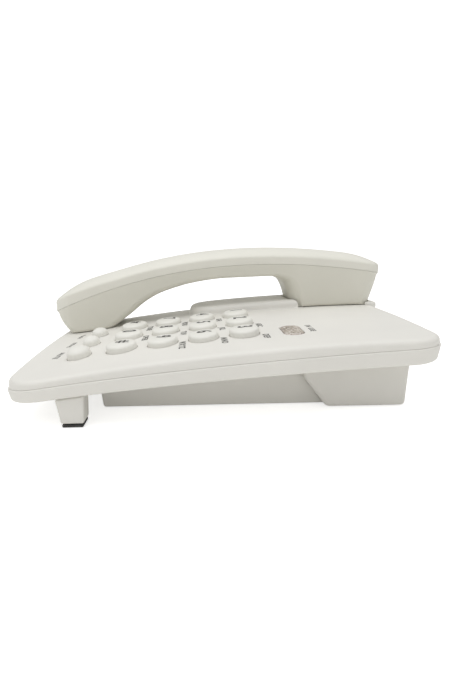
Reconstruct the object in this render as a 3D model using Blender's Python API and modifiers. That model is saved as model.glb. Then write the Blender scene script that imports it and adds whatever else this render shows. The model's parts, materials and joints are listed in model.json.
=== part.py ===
"""A corded desk telephone with its handset on the cradle, in metres, +Z up.

X runs to the phone's right, Y to its back. The origin is on the ground, under the middle of the whole.
The case is a thin slab that rises to the back. It stands on a wedge at the back and two legs in front.
"""

import math

import bmesh
import bpy
import numpy as np
from mathutils import Matrix, Vector

MM = 0.001
GAP = 0.3 * MM

# Case: a rounded rectangle in plan, with its ends bowed out
CASE_HALF_WIDTH = 75 * MM
CASE_FRONT = -101.3 * MM
CASE_BACK = 98 * MM
CASE_CORNER = 17 * MM
CASE_BOW = 1.6 * MM
CROWN = 1.2 * MM
WALL = 2.2 * MM
LEDGE = 0.5 * MM
TOP_FILLET = 2.6 * MM

# Wedge under the case, and the stand that wraps its back
WEDGE_HALF_WIDTH = 47 * MM
WEDGE_FRONT = -62 * MM
WEDGE_BACK = 84.6 * MM
WEDGE_BOTTOM = 0.4 * MM
WEDGE_STEP_Y = 49 * MM
STEPPED_BOTTOM = 6.2 * MM
STAND_HALF_WIDTH = 53.5 * MM
STAND_FRONT = 48 * MM
STAND_BACK = 87.5 * MM
STAND_FLOOR = 2.4 * MM
STAND_WALL = 2.5 * MM
LEG_X = 66.5 * MM
LEG_SIZE = 11 * MM
LEG_Y = -71.5 * MM
TIP_HEIGHT = 1.5 * MM

# Keys. Number keys and function keys each travel along the deck's normal
KEY_COLUMNS = [-17.0 * MM, 10.8 * MM, 38.6 * MM]
KEY_ROWS = [8.2 * MM, -12.3 * MM, -32.8 * MM, -53.3 * MM]
KEY_NAMES = ["key_1", "key_2", "key_3", "key_4", "key_5", "key_6",
             "key_7", "key_8", "key_9", "key_star", "key_0", "key_hash"]
KEY_RADIUS = 9.6 * MM
KEY_ASPECT = 0.79
FUNCTION_COLUMNS = [-9.5 * MM, 15.0 * MM, 39.5 * MM]
FUNCTION_Y = -74.2 * MM
FUNCTION_NAMES = ["key_flash", "key_redial", "key_mute"]
FUNCTION_RADIUS = 7.7 * MM
FUNCTION_RADII = [6.1 * MM, 6.1 * MM, FUNCTION_RADIUS]
FUNCTION_ASPECT = 0.74
HOLE_CLEARANCE = 0.4 * MM
KEY_SIDES = 16
DECK_Y = -22 * MM
MAT_TOP = -5.9 * MM
MAT_THICKNESS = 1.0 * MM
BOARD_THICKNESS = 1.6 * MM

# Indicator window
LENS_CENTRE = (39.2 * MM, 32.2 * MM)
LENS_HALF = (11.3 * MM, 5.2 * MM)

# Handset and the cradle under it
HANDSET_X = -52 * MM
HANDSET_HALF_WIDTH = 22 * MM
HANDSET_FRONT = -106 * MM
HANDSET_BACK = 105 * MM
HANDSET_CORNER = 12 * MM
HANDSET_WALL = 1.8 * MM
HOUSING_CORNER = 13 * MM
MOUTH_CORNER = 6 * MM
REST_GAP = 0.45 * MM
MOUTH_Y = -79 * MM
EAR_Y = 77 * MM
HUMP_HEIGHT = 5.2 * MM
LIP_HEIGHT = 1.9 * MM

# Hook switch under the earpiece
HOOK_Y = 60 * MM
HOOK_RADIUS = 4.1 * MM
LEVER_PIVOT = (-36 * MM, 28.4 * MM)
LEVER_ARM = 17 * MM

# Sockets
LINE_SOCKET = (9.8 * MM, 6.8 * MM)
LINE_SOCKET_CENTRE = (0.0, 14.0 * MM)
CORD_SOCKET = (7.8 * MM, 6.6 * MM)
CORD_SOCKET_CENTRE = (-36 * MM, 9.5 * MM)
HANDSET_SOCKET_Z = 30.5 * MM

# Slide switches in the back edge
SWITCH_COLUMNS = {"ringer_switch": 22 * MM, "dial_switch": 48 * MM}
KNOB_SHIFT = {"ringer_switch": 0.0, "dial_switch": 2 * MM}
SWITCH_SLOT = (10 * MM, 3.4 * MM)

SCREW_PLACES = [(63 * MM, -38 * MM), (-63 * MM, -38 * MM), (63 * MM, 52 * MM), (-63 * MM, 52 * MM)]
SCREW_SHAFT = 1.3 * MM
SCREW_HEAD = 2.7 * MM

IVORY = (0.80, 0.79, 0.73)


# ---------------------------------------------------------------- surfaces

def nose(y, start):
    """The square of how far a place is in front of the start, for the case's fuller front edge."""
    return max(start - y, 0.0) ** 2


def top_fold(y):
    return 0.0332 + 0.094 * y - 0.44 * y * y + 3.4 * nose(y, -0.080)


def case_top(x, y):
    return top_fold(y) + CROWN * (1 - (x / CASE_HALF_WIDTH) ** 2)


def parting(x, y):
    return 0.0282 + 0.0886 * y - 0.21 * y * y - 0.26 * nose(y, -0.050)


def case_bottom(x, y):
    return 0.0210 + 0.0796 * y - 0.20 * y * y - 0.30 * nose(y, -0.050)


def handset_seam(x, y):
    return 0.06434 + 0.0902 * y - 1.487 * y * y + 2.0 * y ** 3


def smooth_profile(points):
    """A monotone cubic through the points, as a function of its first coordinate."""
    ys = np.array([p[0] for p in points]) * MM
    zs = np.array([p[1] for p in points]) * MM
    step = np.diff(ys)
    slope = np.diff(zs) / step
    tangent = np.zeros(len(ys))
    tangent[0] = slope[0]
    tangent[-1] = slope[-1]
    for i in range(1, len(ys) - 1):
        if slope[i - 1] * slope[i] > 0:
            w1 = 2 * step[i] + step[i - 1]
            w2 = step[i] + 2 * step[i - 1]
            tangent[i] = (w1 + w2) / (w1 / slope[i - 1] + w2 / slope[i])

    def curve(y):
        y = min(max(y, ys[0]), ys[-1])
        i = min(int(np.searchsorted(ys, y, side="right")) - 1, len(step) - 1)
        t = (y - ys[i]) / step[i]
        return float((2 * t ** 3 - 3 * t ** 2 + 1) * zs[i] + (t ** 3 - 2 * t ** 2 + t) * step[i] * tangent[i]
                     + (3 * t ** 2 - 2 * t ** 3) * zs[i + 1] + (t ** 3 - t ** 2) * step[i] * tangent[i + 1])

    return curve


# Underside along the handset's middle, in mm: mouthpiece end, grip, earpiece end
underside = smooth_profile([
    (-106, 36), (-105.2, 34.6), (-95.4, 21.4), (-93.8, 20), (-74.5, 20), (-71, 24), (-64.5, 29), (-57, 34.8),
    (-48, 42), (-38.6, 47.2), (-28, 50.8), (-19.5, 53.1), (-0.4, 56.3), (18.7, 57.8), (30, 58.1),
    (36.8, 56.5), (40.6, 54.3), (43.3, 49.5), (45.5, 43), (47.5, 36), (97.3, 36), (98.6, 39.5), (105, 58.6)])


def corner_lag(x, y):
    """How far a housing's end wall falls back towards its sides, which rounds its upright edges."""
    share = min(max((y + 60 * MM) / (40 * MM), 0.0), 1.0)
    corner = MOUTH_CORNER + (HOUSING_CORNER - MOUTH_CORNER) * share
    over = abs(x - HANDSET_X) - (HANDSET_HALF_WIDTH - corner)
    over = min(max(over, 0.0), corner * 0.97)
    return corner - math.sqrt(corner ** 2 - over ** 2)


def handset_under(x, y):
    side = np.interp(y, [MOUTH_Y - 4 * MM, MOUTH_Y + 4 * MM, 0, 20 * MM, EAR_Y - 5 * MM, EAR_Y + 5 * MM],
                     [-1, 1, 1, -1, -1, 1])
    return max(underside(y + side * corner_lag(x, y)), case_top(x, y) + REST_GAP)


def handset_under_inside(x, y):
    """The underside raised by the wall's thickness, measured square to the surface."""
    highest = handset_under(x, y) + HANDSET_WALL
    for share in (0.45, 0.8, 0.97):
        reach = HANDSET_WALL * share
        rise = HANDSET_WALL * math.sqrt(1 - share * share)
        for k in range(8):
            turn = math.tau * k / 8
            near = handset_under(x + reach * math.cos(turn), y + reach * math.sin(turn))
            highest = max(highest, near + rise)
    return highest


def brow(y):
    """How much fuller the handset's outer cover is towards the mouthpiece end."""
    share = min(max((-y - 60 * MM) / (40 * MM), 0.0), 1.0)
    return 1.6 * MM * share * share * (3 - 2 * share)


def handset_dome(depth):
    """Height above the seam at a depth in from the outline."""
    run = min(max(1 - depth / HANDSET_HALF_WIDTH, 0.0), 1.0)
    return 4.0 * MM + 6.0 * MM * math.sqrt(1 - run * run)


# ---------------------------------------------------------------- outlines and bodies

class Outline:
    """A rounded rectangle that can be inset, sampled as four sides that meet in the corners' middles."""

    def __init__(self, middle_x, half_x, front, back, corner, bow=0.0, stations=(), across=4, arc=3):
        self.middle_x, self.half_x = middle_x, half_x
        self.front, self.back, self.corner, self.bow = front, back, corner, bow
        self.stations, self.across, self.arc = stations, across, arc

    def sides(self, inset):
        half = self.half_x - inset
        front, back = self.front + inset, self.back - inset
        radius = max(self.corner - inset, 0.6 * MM)
        eighth = [math.pi / 4 * k / self.arc for k in range(self.arc + 1)]
        ends = [half - radius, half - radius + radius * math.sin(math.pi / 4)]
        flat = [ends[0] * (2 * k / self.across - 1) for k in range(self.across + 1)]
        sweep = [(ends[0] + radius * math.sin(a), radius * (1 - math.cos(a))) for a in eighth[1:]]
        row = [(-x, d) for x, d in reversed(sweep)] + [(x, 0.0) for x in flat] + sweep
        rise = [(radius * (1 - math.cos(a)), radius - radius * math.sin(a)) for a in reversed(eighth[:-1])]
        low = [(front + d, x) for x, d in rise]
        high = [(back - d, x) for x, d in reversed(rise)]
        middle = [(y, 0.0) for y in self.stations if front + radius < y < back - radius]
        corner_in = radius * (1 - math.cos(math.pi / 4))
        side = [(front + corner_in, corner_in)] + low + middle + high + [(back - corner_in, corner_in)]
        front_row = [(x, front + d) for x, d in row]
        back_row = [(x, back - d) for x, d in row]
        left = [(-half + d, y) for y, d in side]
        right = [(half - d, y) for y, d in side]
        return [[self.bowed(p) for p in line] for line in (front_row, right, back_row, left)]

    def bowed(self, point):
        x, y = point
        share = 1 - min(abs(x) / self.half_x, 1.0) ** 2
        reach = self.back if y > 0 else -self.front
        return (self.middle_x + x, y + self.bow * share * y / reach)


def coons(front, right, back, left):
    """Rows of points that fill four sides: row by row from the front, each from left to right."""
    rows, columns = len(left), len(front)
    front, right, back, left = (np.array(side) for side in (front, right, back, left))
    grid = []
    for i in range(rows):
        v = (left[i][1] - left[0][1]) / (left[-1][1] - left[0][1])
        for j in range(columns):
            u = (front[j][0] - front[0][0]) / (front[-1][0] - front[0][0])
            corners = ((1 - u) * (1 - v) * front[0] + u * (1 - v) * front[-1]
                       + (1 - u) * v * back[0] + u * v * back[-1])
            point = (1 - v) * front[j] + v * back[j] + (1 - u) * left[i] + u * right[i] - corners
            grid.append((float(point[0]), float(point[1])))
    return grid, rows, columns


def stacked_body(outline, sections):
    """A closed mesh through sections of (inset, height function), from the lowest to the highest."""
    points, faces, rings = [], [], []
    for inset, height in sections:
        front, right, back, left = outline.sides(inset)
        ring = front + right[1:] + back[-2::-1] + left[-2:0:-1]
        rings.append(range(len(points), len(points) + len(ring)))
        points += [(x, y, height(x, y)) for x, y in ring]
    for low, high in zip(rings, rings[1:]):
        count = len(low)
        for k in range(count):
            n = (k + 1) % count
            faces.append((low[k], low[n], high[n], high[k]))
    for (inset, height), ring, upward in ((sections[0], rings[0], False), (sections[-1], rings[-1], True)):
        grid, rows, columns = coons(*outline.sides(inset))
        index = {}
        last_row, last_column = rows - 1, columns - 1
        for k, (i, j) in enumerate([(0, j) for j in range(columns)]
                                   + [(i, last_column) for i in range(1, rows)]
                                   + [(last_row, j) for j in range(columns - 2, -1, -1)]
                                   + [(i, 0) for i in range(rows - 2, 0, -1)]):
            index[i, j] = ring[k]
        for i in range(1, last_row):
            for j in range(1, last_column):
                x, y = grid[i * columns + j]
                index[i, j] = len(points)
                points.append((x, y, height(x, y)))
        for i in range(last_row):
            for j in range(last_column):
                face = (index[i, j], index[i, j + 1], index[i + 1, j + 1], index[i + 1, j])
                faces.append(face if upward else face[::-1])
    return points, faces


# ---------------------------------------------------------------- scene helpers

def clear_scene():
    for old in list(bpy.data.objects):
        bpy.data.objects.remove(old, do_unlink=True)


def new_collection(name, parent=None):
    made = bpy.data.collections.new(name)
    (parent or bpy.context.scene.collection).children.link(made)
    return made


def plastic(name, colour, roughness=0.45, metallic=0.0):
    made = bpy.data.materials.new(name)
    made.use_nodes = True
    shader = made.node_tree.nodes["Principled BSDF"]
    shader.inputs["Base Color"].default_value = (*colour, 1.0)
    shader.inputs["Roughness"].default_value = roughness
    shader.inputs["Metallic"].default_value = metallic
    made.diffuse_color = (*colour, 1.0)
    return made


def add_object(name, mesh, finish=None):
    """A named part when it has a finish, otherwise a tool for a Boolean."""
    made = bpy.data.objects.new(name, mesh)
    if finish is None:
        CUTTERS.objects.link(made)
        made.hide_render = True
        made.display_type = "WIRE"
    else:
        PHONE.objects.link(made)
        mesh.materials.append(finish)
    return made


def add_stack(name, outline, sections, finish=None):
    points, faces = stacked_body(outline, sections)
    mesh = bpy.data.meshes.new(name)
    mesh.from_pydata(points, [], faces)
    return add_object(name, mesh, finish)


def mesh_from(bm, name):
    bmesh.ops.recalc_face_normals(bm, faces=bm.faces)
    mesh = bpy.data.meshes.new(name)
    bm.to_mesh(mesh)
    bm.free()
    return mesh


def add_box(name, low, high, finish=None, bevel=0.0):
    bm = bmesh.new()
    bmesh.ops.create_cube(bm, size=1.0)
    middle = (Vector(low) + Vector(high)) / 2
    size = Vector(high) - Vector(low)
    bmesh.ops.scale(bm, vec=size, verts=bm.verts)
    bmesh.ops.translate(bm, vec=middle, verts=bm.verts)
    made = add_object(name, mesh_from(bm, name), finish)
    if bevel:
        add_bevel(made, bevel)
    return made


def add_bevel(obj, width, segments=2, angle=40):
    rounding = obj.modifiers.new("rounded edges", "BEVEL")
    rounding.width = width
    rounding.segments = segments
    rounding.limit_method = "ANGLE"
    rounding.angle_limit = math.radians(angle)


def add_cylinder(name, start, end, radius, finish=None, sides=20, aspect=1.0):
    """A cylinder between two points; aspect narrows it along its own Y."""
    start, end = Vector(start), Vector(end)
    bm = bmesh.new()
    length = (end - start).length
    bmesh.ops.create_cone(bm, cap_ends=True, segments=sides, radius1=radius, radius2=radius, depth=length)
    bmesh.ops.scale(bm, vec=(1, aspect, 1), verts=bm.verts)
    made = add_object(name, mesh_from(bm, name), finish)
    made.location = (start + end) / 2
    made.rotation_mode = "QUATERNION"
    made.rotation_quaternion = Vector((0, 0, 1)).rotation_difference(end - start)
    return made


def add_prism(name, outline_yz, x_low, x_high, finish=None):
    """A flat outline in Y and Z, extruded along X."""
    bm = bmesh.new()
    corners = [bm.verts.new((x_low, y, z)) for y, z in outline_yz]
    face = bm.faces.new(corners)
    grown = bmesh.ops.extrude_face_region(bm, geom=[face])
    moved = [v for v in grown["geom"] if isinstance(v, bmesh.types.BMVert)]
    bmesh.ops.translate(bm, vec=(x_high - x_low, 0, 0), verts=moved)
    return add_object(name, mesh_from(bm, name), finish)


def add_turned(name, profile, sides, finish=None, aspect=1.0):
    """A turned solid from (radius, height) points, top to bottom, about its own Z."""
    mesh = bpy.data.meshes.new(name)
    mesh.from_pydata([(r, 0, z) for r, z in profile], [(k, k + 1) for k in range(len(profile) - 1)], [])
    made = add_object(name, mesh, finish)
    turn = made.modifiers.new("turned", "SCREW")
    turn.steps = sides
    turn.render_steps = sides
    turn.use_merge_vertices = True
    turn.merge_threshold = 0.00001
    made.scale = (1, aspect, 1)
    return made


def boolean(target, operation, tools):
    """Joins or cuts all the tools in one modifier."""
    name = f"{target.name} {operation.lower()} {len(target.modifiers) + 1}"
    group = new_collection(name, CUTTERS)
    for tool in tools:
        CUTTERS.objects.unlink(tool)
        group.objects.link(tool)
    step = target.modifiers.new(name, "BOOLEAN")
    step.operation = operation
    step.solver = "EXACT"
    step.operand_type = "COLLECTION"
    step.collection = group


def hang_on(parent, children):
    for child in children:
        child.parent = parent
        child.matrix_parent_inverse = Matrix.Translation(parent.location).inverted()


def add_joint_empty(name, place):
    made = bpy.data.objects.new(name, None)
    made.location = place
    PHONE.objects.link(made)
    return made


# ---------------------------------------------------------------- the deck that the keys sit in

DECK_SLOPE = math.atan(0.094 - 0.88 * DECK_Y)
DECK_ORIGIN = Vector((0.0, DECK_Y, case_top(0.0, DECK_Y)))
DECK = Matrix.Translation(DECK_ORIGIN) @ Matrix.Rotation(DECK_SLOPE, 4, "X")


def deck_place(x, y, height=0.0):
    """The point over plan place (x, y) at a height above the deck plane."""
    along = (y - DECK_Y) / math.cos(DECK_SLOPE)
    return DECK @ Vector((x, along, height))


def deck_box(name, low, high, finish=None):
    """A box square to the deck, from plan X and Y and heights above the deck plane."""
    made = add_box(name, (low[0], (low[1] - DECK_Y) / math.cos(DECK_SLOPE), low[2]),
                   (high[0], (high[1] - DECK_Y) / math.cos(DECK_SLOPE), high[2]), finish)
    made.location = DECK_ORIGIN
    made.rotation_euler = (DECK_SLOPE, 0, 0)
    return made


def key_places():
    """Every key as (name, x, y, radius, aspect)."""
    for row, y in enumerate(KEY_ROWS):
        for column, x in enumerate(KEY_COLUMNS):
            yield KEY_NAMES[3 * row + column], x, y, KEY_RADIUS, KEY_ASPECT
    for name, x, radius in zip(FUNCTION_NAMES, FUNCTION_COLUMNS, FUNCTION_RADII):
        yield name, x, FUNCTION_Y + (FUNCTION_RADIUS - radius) * FUNCTION_ASPECT, radius, FUNCTION_ASPECT


def number_key_profile():
    return [(0, 3.1 * MM), (5.0 * MM, 2.9 * MM), (8.2 * MM, 2.3 * MM), (KEY_RADIUS, 0.9 * MM),
            (KEY_RADIUS, -3.5 * MM), (10.9 * MM, -3.5 * MM), (10.9 * MM, -4.3 * MM), (0, -4.3 * MM)]


def function_key_profile(radius):
    flange = radius + 1 * MM
    return [(0, 3.6 * MM), (0.55 * radius, 3.1 * MM), (0.85 * radius, 1.9 * MM), (radius, 0.2 * MM),
            (radius, -4.2 * MM), (flange, -4.2 * MM), (flange, -4.8 * MM), (0, -4.8 * MM)]


def make_keys(finish):
    for name, x, y, radius, aspect in key_places():
        profile = number_key_profile() if radius == KEY_RADIUS else function_key_profile(radius)
        key = add_turned(name, profile, KEY_SIDES, finish, aspect)
        key.location = deck_place(x, y)
        key.rotation_euler = (DECK_SLOPE, 0, 0)


def key_hole_cutters():
    holes = []
    for name, x, y, radius, aspect in key_places():
        across = radius + HOLE_CLEARANCE
        along = radius * aspect + HOLE_CLEARANCE
        hole = add_turned(name + " hole", [(0, 6 * MM), (across, 6 * MM), (across, -8 * MM), (0, -8 * MM)],
                          KEY_SIDES, aspect=along / across)
        hole.location = deck_place(x, y)
        hole.rotation_euler = (DECK_SLOPE, 0, 0)
        holes.append(hole)
    return holes


def make_deck_insides(rubber, laminate, amber, lens_finish):
    mat_low = MAT_TOP - MAT_THICKNESS
    deck_box("keypad_mat", (-29 * MM, -80.2 * MM, mat_low), (54 * MM, 21 * MM, MAT_TOP), rubber)
    board_top = mat_low - GAP
    board = deck_box("main_board", (-30 * MM, -81.2 * MM, board_top - BOARD_THICKNESS),
                     (55 * MM, 43 * MM, board_top), laminate)
    x, y = LENS_CENTRE
    lamp_hole = add_cylinder("lamp hole", deck_place(x, y, -12 * MM), deck_place(x, y, -5 * MM),
                             2.8 * MM, sides=12)
    boolean(board, "DIFFERENCE", [lamp_hole])
    lamp = add_turned("indicator_led", [(0, 1.5 * MM), (1.4 * MM, 1.1 * MM), (2.4 * MM, 0),
                                        (2.4 * MM, -2.6 * MM), (0, -2.6 * MM)], 12, amber)
    lamp.location = deck_place(x, y, board_top)
    lamp.rotation_euler = (DECK_SLOPE, 0, 0)
    half_x, half_y = LENS_HALF
    window = Outline(x, half_x, y - half_y, y + half_y, 4.9 * MM, across=2, arc=2)
    add_stack("indicator_lens", window, [
        (-1.3 * MM, lambda u, v: case_top(u, v) - WALL - 1.4 * MM),
        (-1.3 * MM, lambda u, v: case_top(u, v) - WALL - GAP),
        (GAP, lambda u, v: case_top(u, v) - WALL - GAP),
        (GAP, lambda u, v: case_top(u, v) - 0.1 * MM),
        (0.8 * MM, lambda u, v: case_top(u, v) + 0.25 * MM)], lens_finish)


# ---------------------------------------------------------------- case

def shifted(surface, by):
    return lambda x, y: surface(x, y) + by


def top_fillet(x, y):
    return min(TOP_FILLET, 0.62 * (case_top(x, y) - parting(x, y)))


def case_outline():
    stations = [s * MM for s in (-80, -58, -34, -10, 14, 38, 60, 76)]
    return Outline(0, CASE_HALF_WIDTH, CASE_FRONT, CASE_BACK, CASE_CORNER, CASE_BOW, stations, 4, 2)


def make_upper_case(finish):
    upper = add_stack("upper_case", case_outline(), [
        (LEDGE, shifted(parting, GAP / 2)),
        (LEDGE + 0.2 * MM, lambda x, y: case_top(x, y) - top_fillet(x, y)),
        (LEDGE + 0.6 * MM, lambda x, y: case_top(x, y) - 0.5 * top_fillet(x, y)),
        (LEDGE + 1.4 * MM, lambda x, y: case_top(x, y) - 0.14 * top_fillet(x, y)),
        (LEDGE + 2.7 * MM, case_top)], finish)
    boolean(upper, "UNION", [make_hump(), make_rear_lip()])
    cavity = add_stack("upper cavity", case_outline(), [
        (LEDGE + WALL, shifted(parting, -1 * MM)),
        (LEDGE + WALL, lambda x, y: case_top(x, y) - WALL - 0.8 * top_fillet(x, y)),
        (LEDGE + WALL + 2 * MM, shifted(case_top, -WALL))])
    x, y = LENS_CENTRE
    half_x, half_y = LENS_HALF
    window = add_stack("window", Outline(x, half_x, y - half_y, y + half_y, 4.9 * MM, across=2, arc=2), [
        (0, shifted(case_top, -6 * MM)), (0, shifted(case_top, 6 * MM))])
    plunger_hole = add_cylinder("plunger hole", (HANDSET_X, HOOK_Y, 0.030), (HANDSET_X, HOOK_Y, 0.045),
                                HOOK_RADIUS + HOLE_CLEARANCE)
    boolean(upper, "DIFFERENCE", [cavity, make_hump_hollow(), window, plunger_hole] + key_hole_cutters())
    bosses, bores = [], []
    for x, y in SCREW_PLACES:
        floor = case_bottom(x, y)
        bosses.append(add_cylinder("boss", (x, y, floor + 5.3 * MM), (x, y, case_top(x, y) - 1 * MM),
                                   3.6 * MM, sides=16))
        bores.append(add_cylinder("boss bore", (x, y, floor + 4 * MM), (x, y, floor + 9.3 * MM),
                                  SCREW_SHAFT + GAP, sides=12))
    boolean(upper, "UNION", bosses)
    boolean(upper, "DIFFERENCE", bores)
    return upper


def ear_clearance(drop):
    """The space that the earpiece housing needs over the case, from a drop below its surface."""
    room = Outline(HANDSET_X, HANDSET_HALF_WIDTH + 0.7 * MM, 44.2 * MM, 99.5 * MM, HOUSING_CORNER,
                   across=2, arc=2)
    return add_stack("ear clearance", room, [(0, shifted(case_top, -drop)), (0, shifted(case_top, 20 * MM))])


def hump_outline():
    return Outline(-51.5 * MM, 20.5 * MM, -20 * MM, 62 * MM, 15 * MM, 0, [6 * MM, 26 * MM], 2, 2)


def make_hump():
    hump = add_stack("hump", hump_outline(), [
        (0, shifted(case_top, -1.2 * MM)),
        (0, shifted(case_top, 1.5 * MM)),
        (0.6 * MM, shifted(case_top, 3.4 * MM)),
        (1.7 * MM, shifted(case_top, 4.7 * MM)),
        (3.4 * MM, shifted(case_top, HUMP_HEIGHT))])
    boolean(hump, "DIFFERENCE", [ear_clearance(8 * MM)])
    return hump


def make_hump_hollow():
    inside = Outline(-51.5 * MM, 18.0 * MM, -17.5 * MM, 41 * MM, 7 * MM, 0, [12 * MM], 2, 1)
    return add_stack("hump hollow", inside, [
        (0, shifted(case_top, -5 * MM)), (0, shifted(case_top, 1.2 * MM)),
        (1.5 * MM, shifted(case_top, HUMP_HEIGHT - WALL))])


def make_rear_lip():
    rim = Outline(HANDSET_X, 22.5 * MM, 92 * MM, 102 * MM, 4 * MM, across=2, arc=2)
    lip = add_stack("lip", rim, [
        (1.5 * MM, shifted(parting, 0.5 * MM)),
        (0, shifted(parting, 2 * MM)),
        (0, shifted(case_top, LIP_HEIGHT - 1 * MM)),
        (0.9 * MM, shifted(case_top, LIP_HEIGHT))])
    boolean(lip, "DIFFERENCE", [ear_clearance(0.5 * MM)])
    return lip


def wedge_outline():
    """The wedge's side profile: on the ground in front, stepped up over the stand's floor behind."""
    return [(WEDGE_FRONT - 2.5 * MM, 0.0185), (WEDGE_FRONT, WEDGE_BOTTOM),
            (WEDGE_STEP_Y, WEDGE_BOTTOM), (WEDGE_STEP_Y, STEPPED_BOTTOM),
            (WEDGE_BACK, STEPPED_BOTTOM), (WEDGE_BACK, 0.030), (10 * MM, 0.0245)]


def make_lower_case(finish):
    lower = add_stack("lower_case", case_outline(), [
        (3.0 * MM, case_bottom),
        (1.5 * MM, shifted(case_bottom, 0.5 * MM)),
        (0.8 * MM, shifted(case_bottom, 1.9 * MM)),
        (0, shifted(parting, -1.2 * MM)),
        (0, shifted(parting, -GAP / 2))], finish)
    wedge = add_prism("wedge", wedge_outline(), -WEDGE_HALF_WIDTH, WEDGE_HALF_WIDTH)
    add_bevel(wedge, 1.2 * MM, 2, 50)
    boolean(lower, "UNION", [wedge])
    cavity = add_stack("lower cavity", case_outline(), [
        (WALL + 3.2 * MM, shifted(case_bottom, WALL)),
        (WALL + 1.2 * MM, shifted(case_bottom, WALL + 1.6 * MM)),
        (WALL, shifted(parting, 1 * MM))])
    inner = WEDGE_HALF_WIDTH - WALL
    front_room = add_box("front room", (-inner, WEDGE_FRONT + WALL, WEDGE_BOTTOM + WALL),
                         (inner, WEDGE_STEP_Y - WALL, 0.0245))
    back_room = add_box("back room", (-inner, WEDGE_STEP_Y - WALL - 5 * MM, STEPPED_BOTTOM + WALL),
                        (inner, WEDGE_BACK - WALL, 0.0305))
    boolean(lower, "DIFFERENCE", [cavity, front_room, back_room])
    boolean(lower, "UNION", lower_case_posts())
    boolean(lower, "DIFFERENCE", lower_case_holes())
    return lower


def lower_case_posts():
    posts = []
    for x, y in SCREW_PLACES:
        floor = case_bottom(x, y)
        posts.append(add_cylinder("post", (x, y, floor + 1 * MM), (x, y, floor + 5 * MM), 4 * MM, sides=16))
    x, z = LEVER_PIVOT
    for y in (HOOK_Y - 8 * MM, HOOK_Y + 5.6 * MM):
        posts.append(add_box("lever post", (x - 3 * MM, y, STEPPED_BOTTOM + 1 * MM),
                             (x + 3 * MM, y + 2.4 * MM, z + 2.6 * MM)))
    posts.append(add_box("switch post", (x + 4 * MM, HOOK_Y - 4 * MM, STEPPED_BOTTOM + 1 * MM),
                         (x + 14 * MM, HOOK_Y + 3 * MM, 17.7 * MM)))
    return posts


def lower_case_holes():
    holes = []
    for x, y in SCREW_PLACES:
        floor = case_bottom(x, y)
        holes.append(add_cylinder("head recess", (x, y, floor - 2 * MM), (x, y, floor + 2.7 * MM),
                                  SCREW_HEAD + GAP, sides=16))
        holes.append(add_cylinder("shaft hole", (x, y, floor), (x, y, floor + 7 * MM),
                                  SCREW_SHAFT + GAP, sides=12))
    x, z = LEVER_PIVOT
    holes.append(add_cylinder("pin hole", (x, HOOK_Y - 10 * MM, z), (x, HOOK_Y + 10 * MM, z),
                              1.55 * MM, sides=12))
    for side in (-1, 1):
        holes.append(add_cylinder("leg hole", (side * LEG_X, LEG_Y, 0.010), (side * LEG_X, LEG_Y, 0.020),
                                  2.3 * MM, sides=12))
    for k in range(5):
        y = (-30 + 5 * k) * MM
        holes.append(add_box("ringer slot", (-11 * MM, y, -1 * MM), (11 * MM, y + 2 * MM, 4 * MM)))
    width, height = LINE_SOCKET
    x, z = LINE_SOCKET_CENTRE
    holes.append(add_box("line mouth", (x - width / 2 - 2 * MM, WEDGE_BACK - 4 * MM, z - height / 2 - 2 * MM),
                         (x + width / 2 + 2 * MM, WEDGE_BACK + 2 * MM, z + height / 2 + 2 * MM)))
    width, height = CORD_SOCKET
    y, z = CORD_SOCKET_CENTRE
    reach_y, reach_z = width / 2 + 2 * MM, height / 2 + 2 * MM
    holes.append(add_box("cord mouth", (-WEDGE_HALF_WIDTH - 2 * MM, y - reach_y, z - reach_z),
                         (-WEDGE_HALF_WIDTH + 4 * MM, y + reach_y, z + reach_z)))
    for x in SWITCH_COLUMNS.values():
        width, height = SWITCH_SLOT
        z = switch_height(x)
        holes.append(add_box("switch slot", (x - width / 2, CASE_BACK - 8 * MM, z - height / 2),
                             (x + width / 2, CASE_BACK + 6 * MM, z + height / 2)))
    return holes


def switch_height(x):
    return parting(x, CASE_BACK) - 2.5 * MM


def make_rear_stand(finish):
    clear = 0.4 * MM
    profile = [(STAND_FRONT, WEDGE_BOTTOM), (STAND_BACK, WEDGE_BOTTOM),
               (STAND_BACK + 1.5 * MM, 0.0262), (60 * MM, 0.0247), (35.5 * MM, 0.0231), (36.5 * MM, 0.0150)]
    stand = add_prism("rear_stand", profile, -STAND_HALF_WIDTH, STAND_HALF_WIDTH, finish)
    add_bevel(stand, 2 * MM, 3, 50)
    snug = WEDGE_HALF_WIDTH + clear
    roomy = STAND_HALF_WIDTH - STAND_WALL
    floor = WEDGE_BOTTOM + STAND_FLOOR
    cuts = [add_box("stand mouth", (-snug, 20 * MM, floor), (snug, 60 * MM, 0.040)),
            add_box("wedge way", (-snug, 20 * MM, -1 * MM), (snug, WEDGE_STEP_Y + clear, 0.040)),
            add_box("stand room", (-roomy, WEDGE_STEP_Y + 3 * MM, floor), (roomy, WEDGE_BACK + clear, 0.040))]
    width, height = LINE_SOCKET
    x, z = LINE_SOCKET_CENTRE
    cuts.append(add_box("line window", (x - width / 2 - 3 * MM, WEDGE_BACK - 2 * MM, z - height / 2 - 3 * MM),
                        (x + width / 2 + 3 * MM, STAND_BACK + 4 * MM, z + height / 2 + 3 * MM)))
    for side in (-1, 1):
        x = side * 30 * MM
        cuts.append(add_cylinder("keyhole", (x, 56 * MM, -1 * MM), (x, 56 * MM, 5 * MM), 4.5 * MM, sides=16))
        cuts.append(add_box("keyhole slot", (x - 2.5 * MM, 56 * MM, -1 * MM),
                            (x + 2.5 * MM, 69 * MM, 5 * MM)))
        cuts.append(add_box("pad recess", (side * 40 * MM - 6.3 * MM, 74.7 * MM, -1 * MM),
                            (side * 40 * MM + 6.3 * MM, 81.3 * MM, 1.5 * MM)))
    boolean(stand, "DIFFERENCE", cuts)


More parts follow.
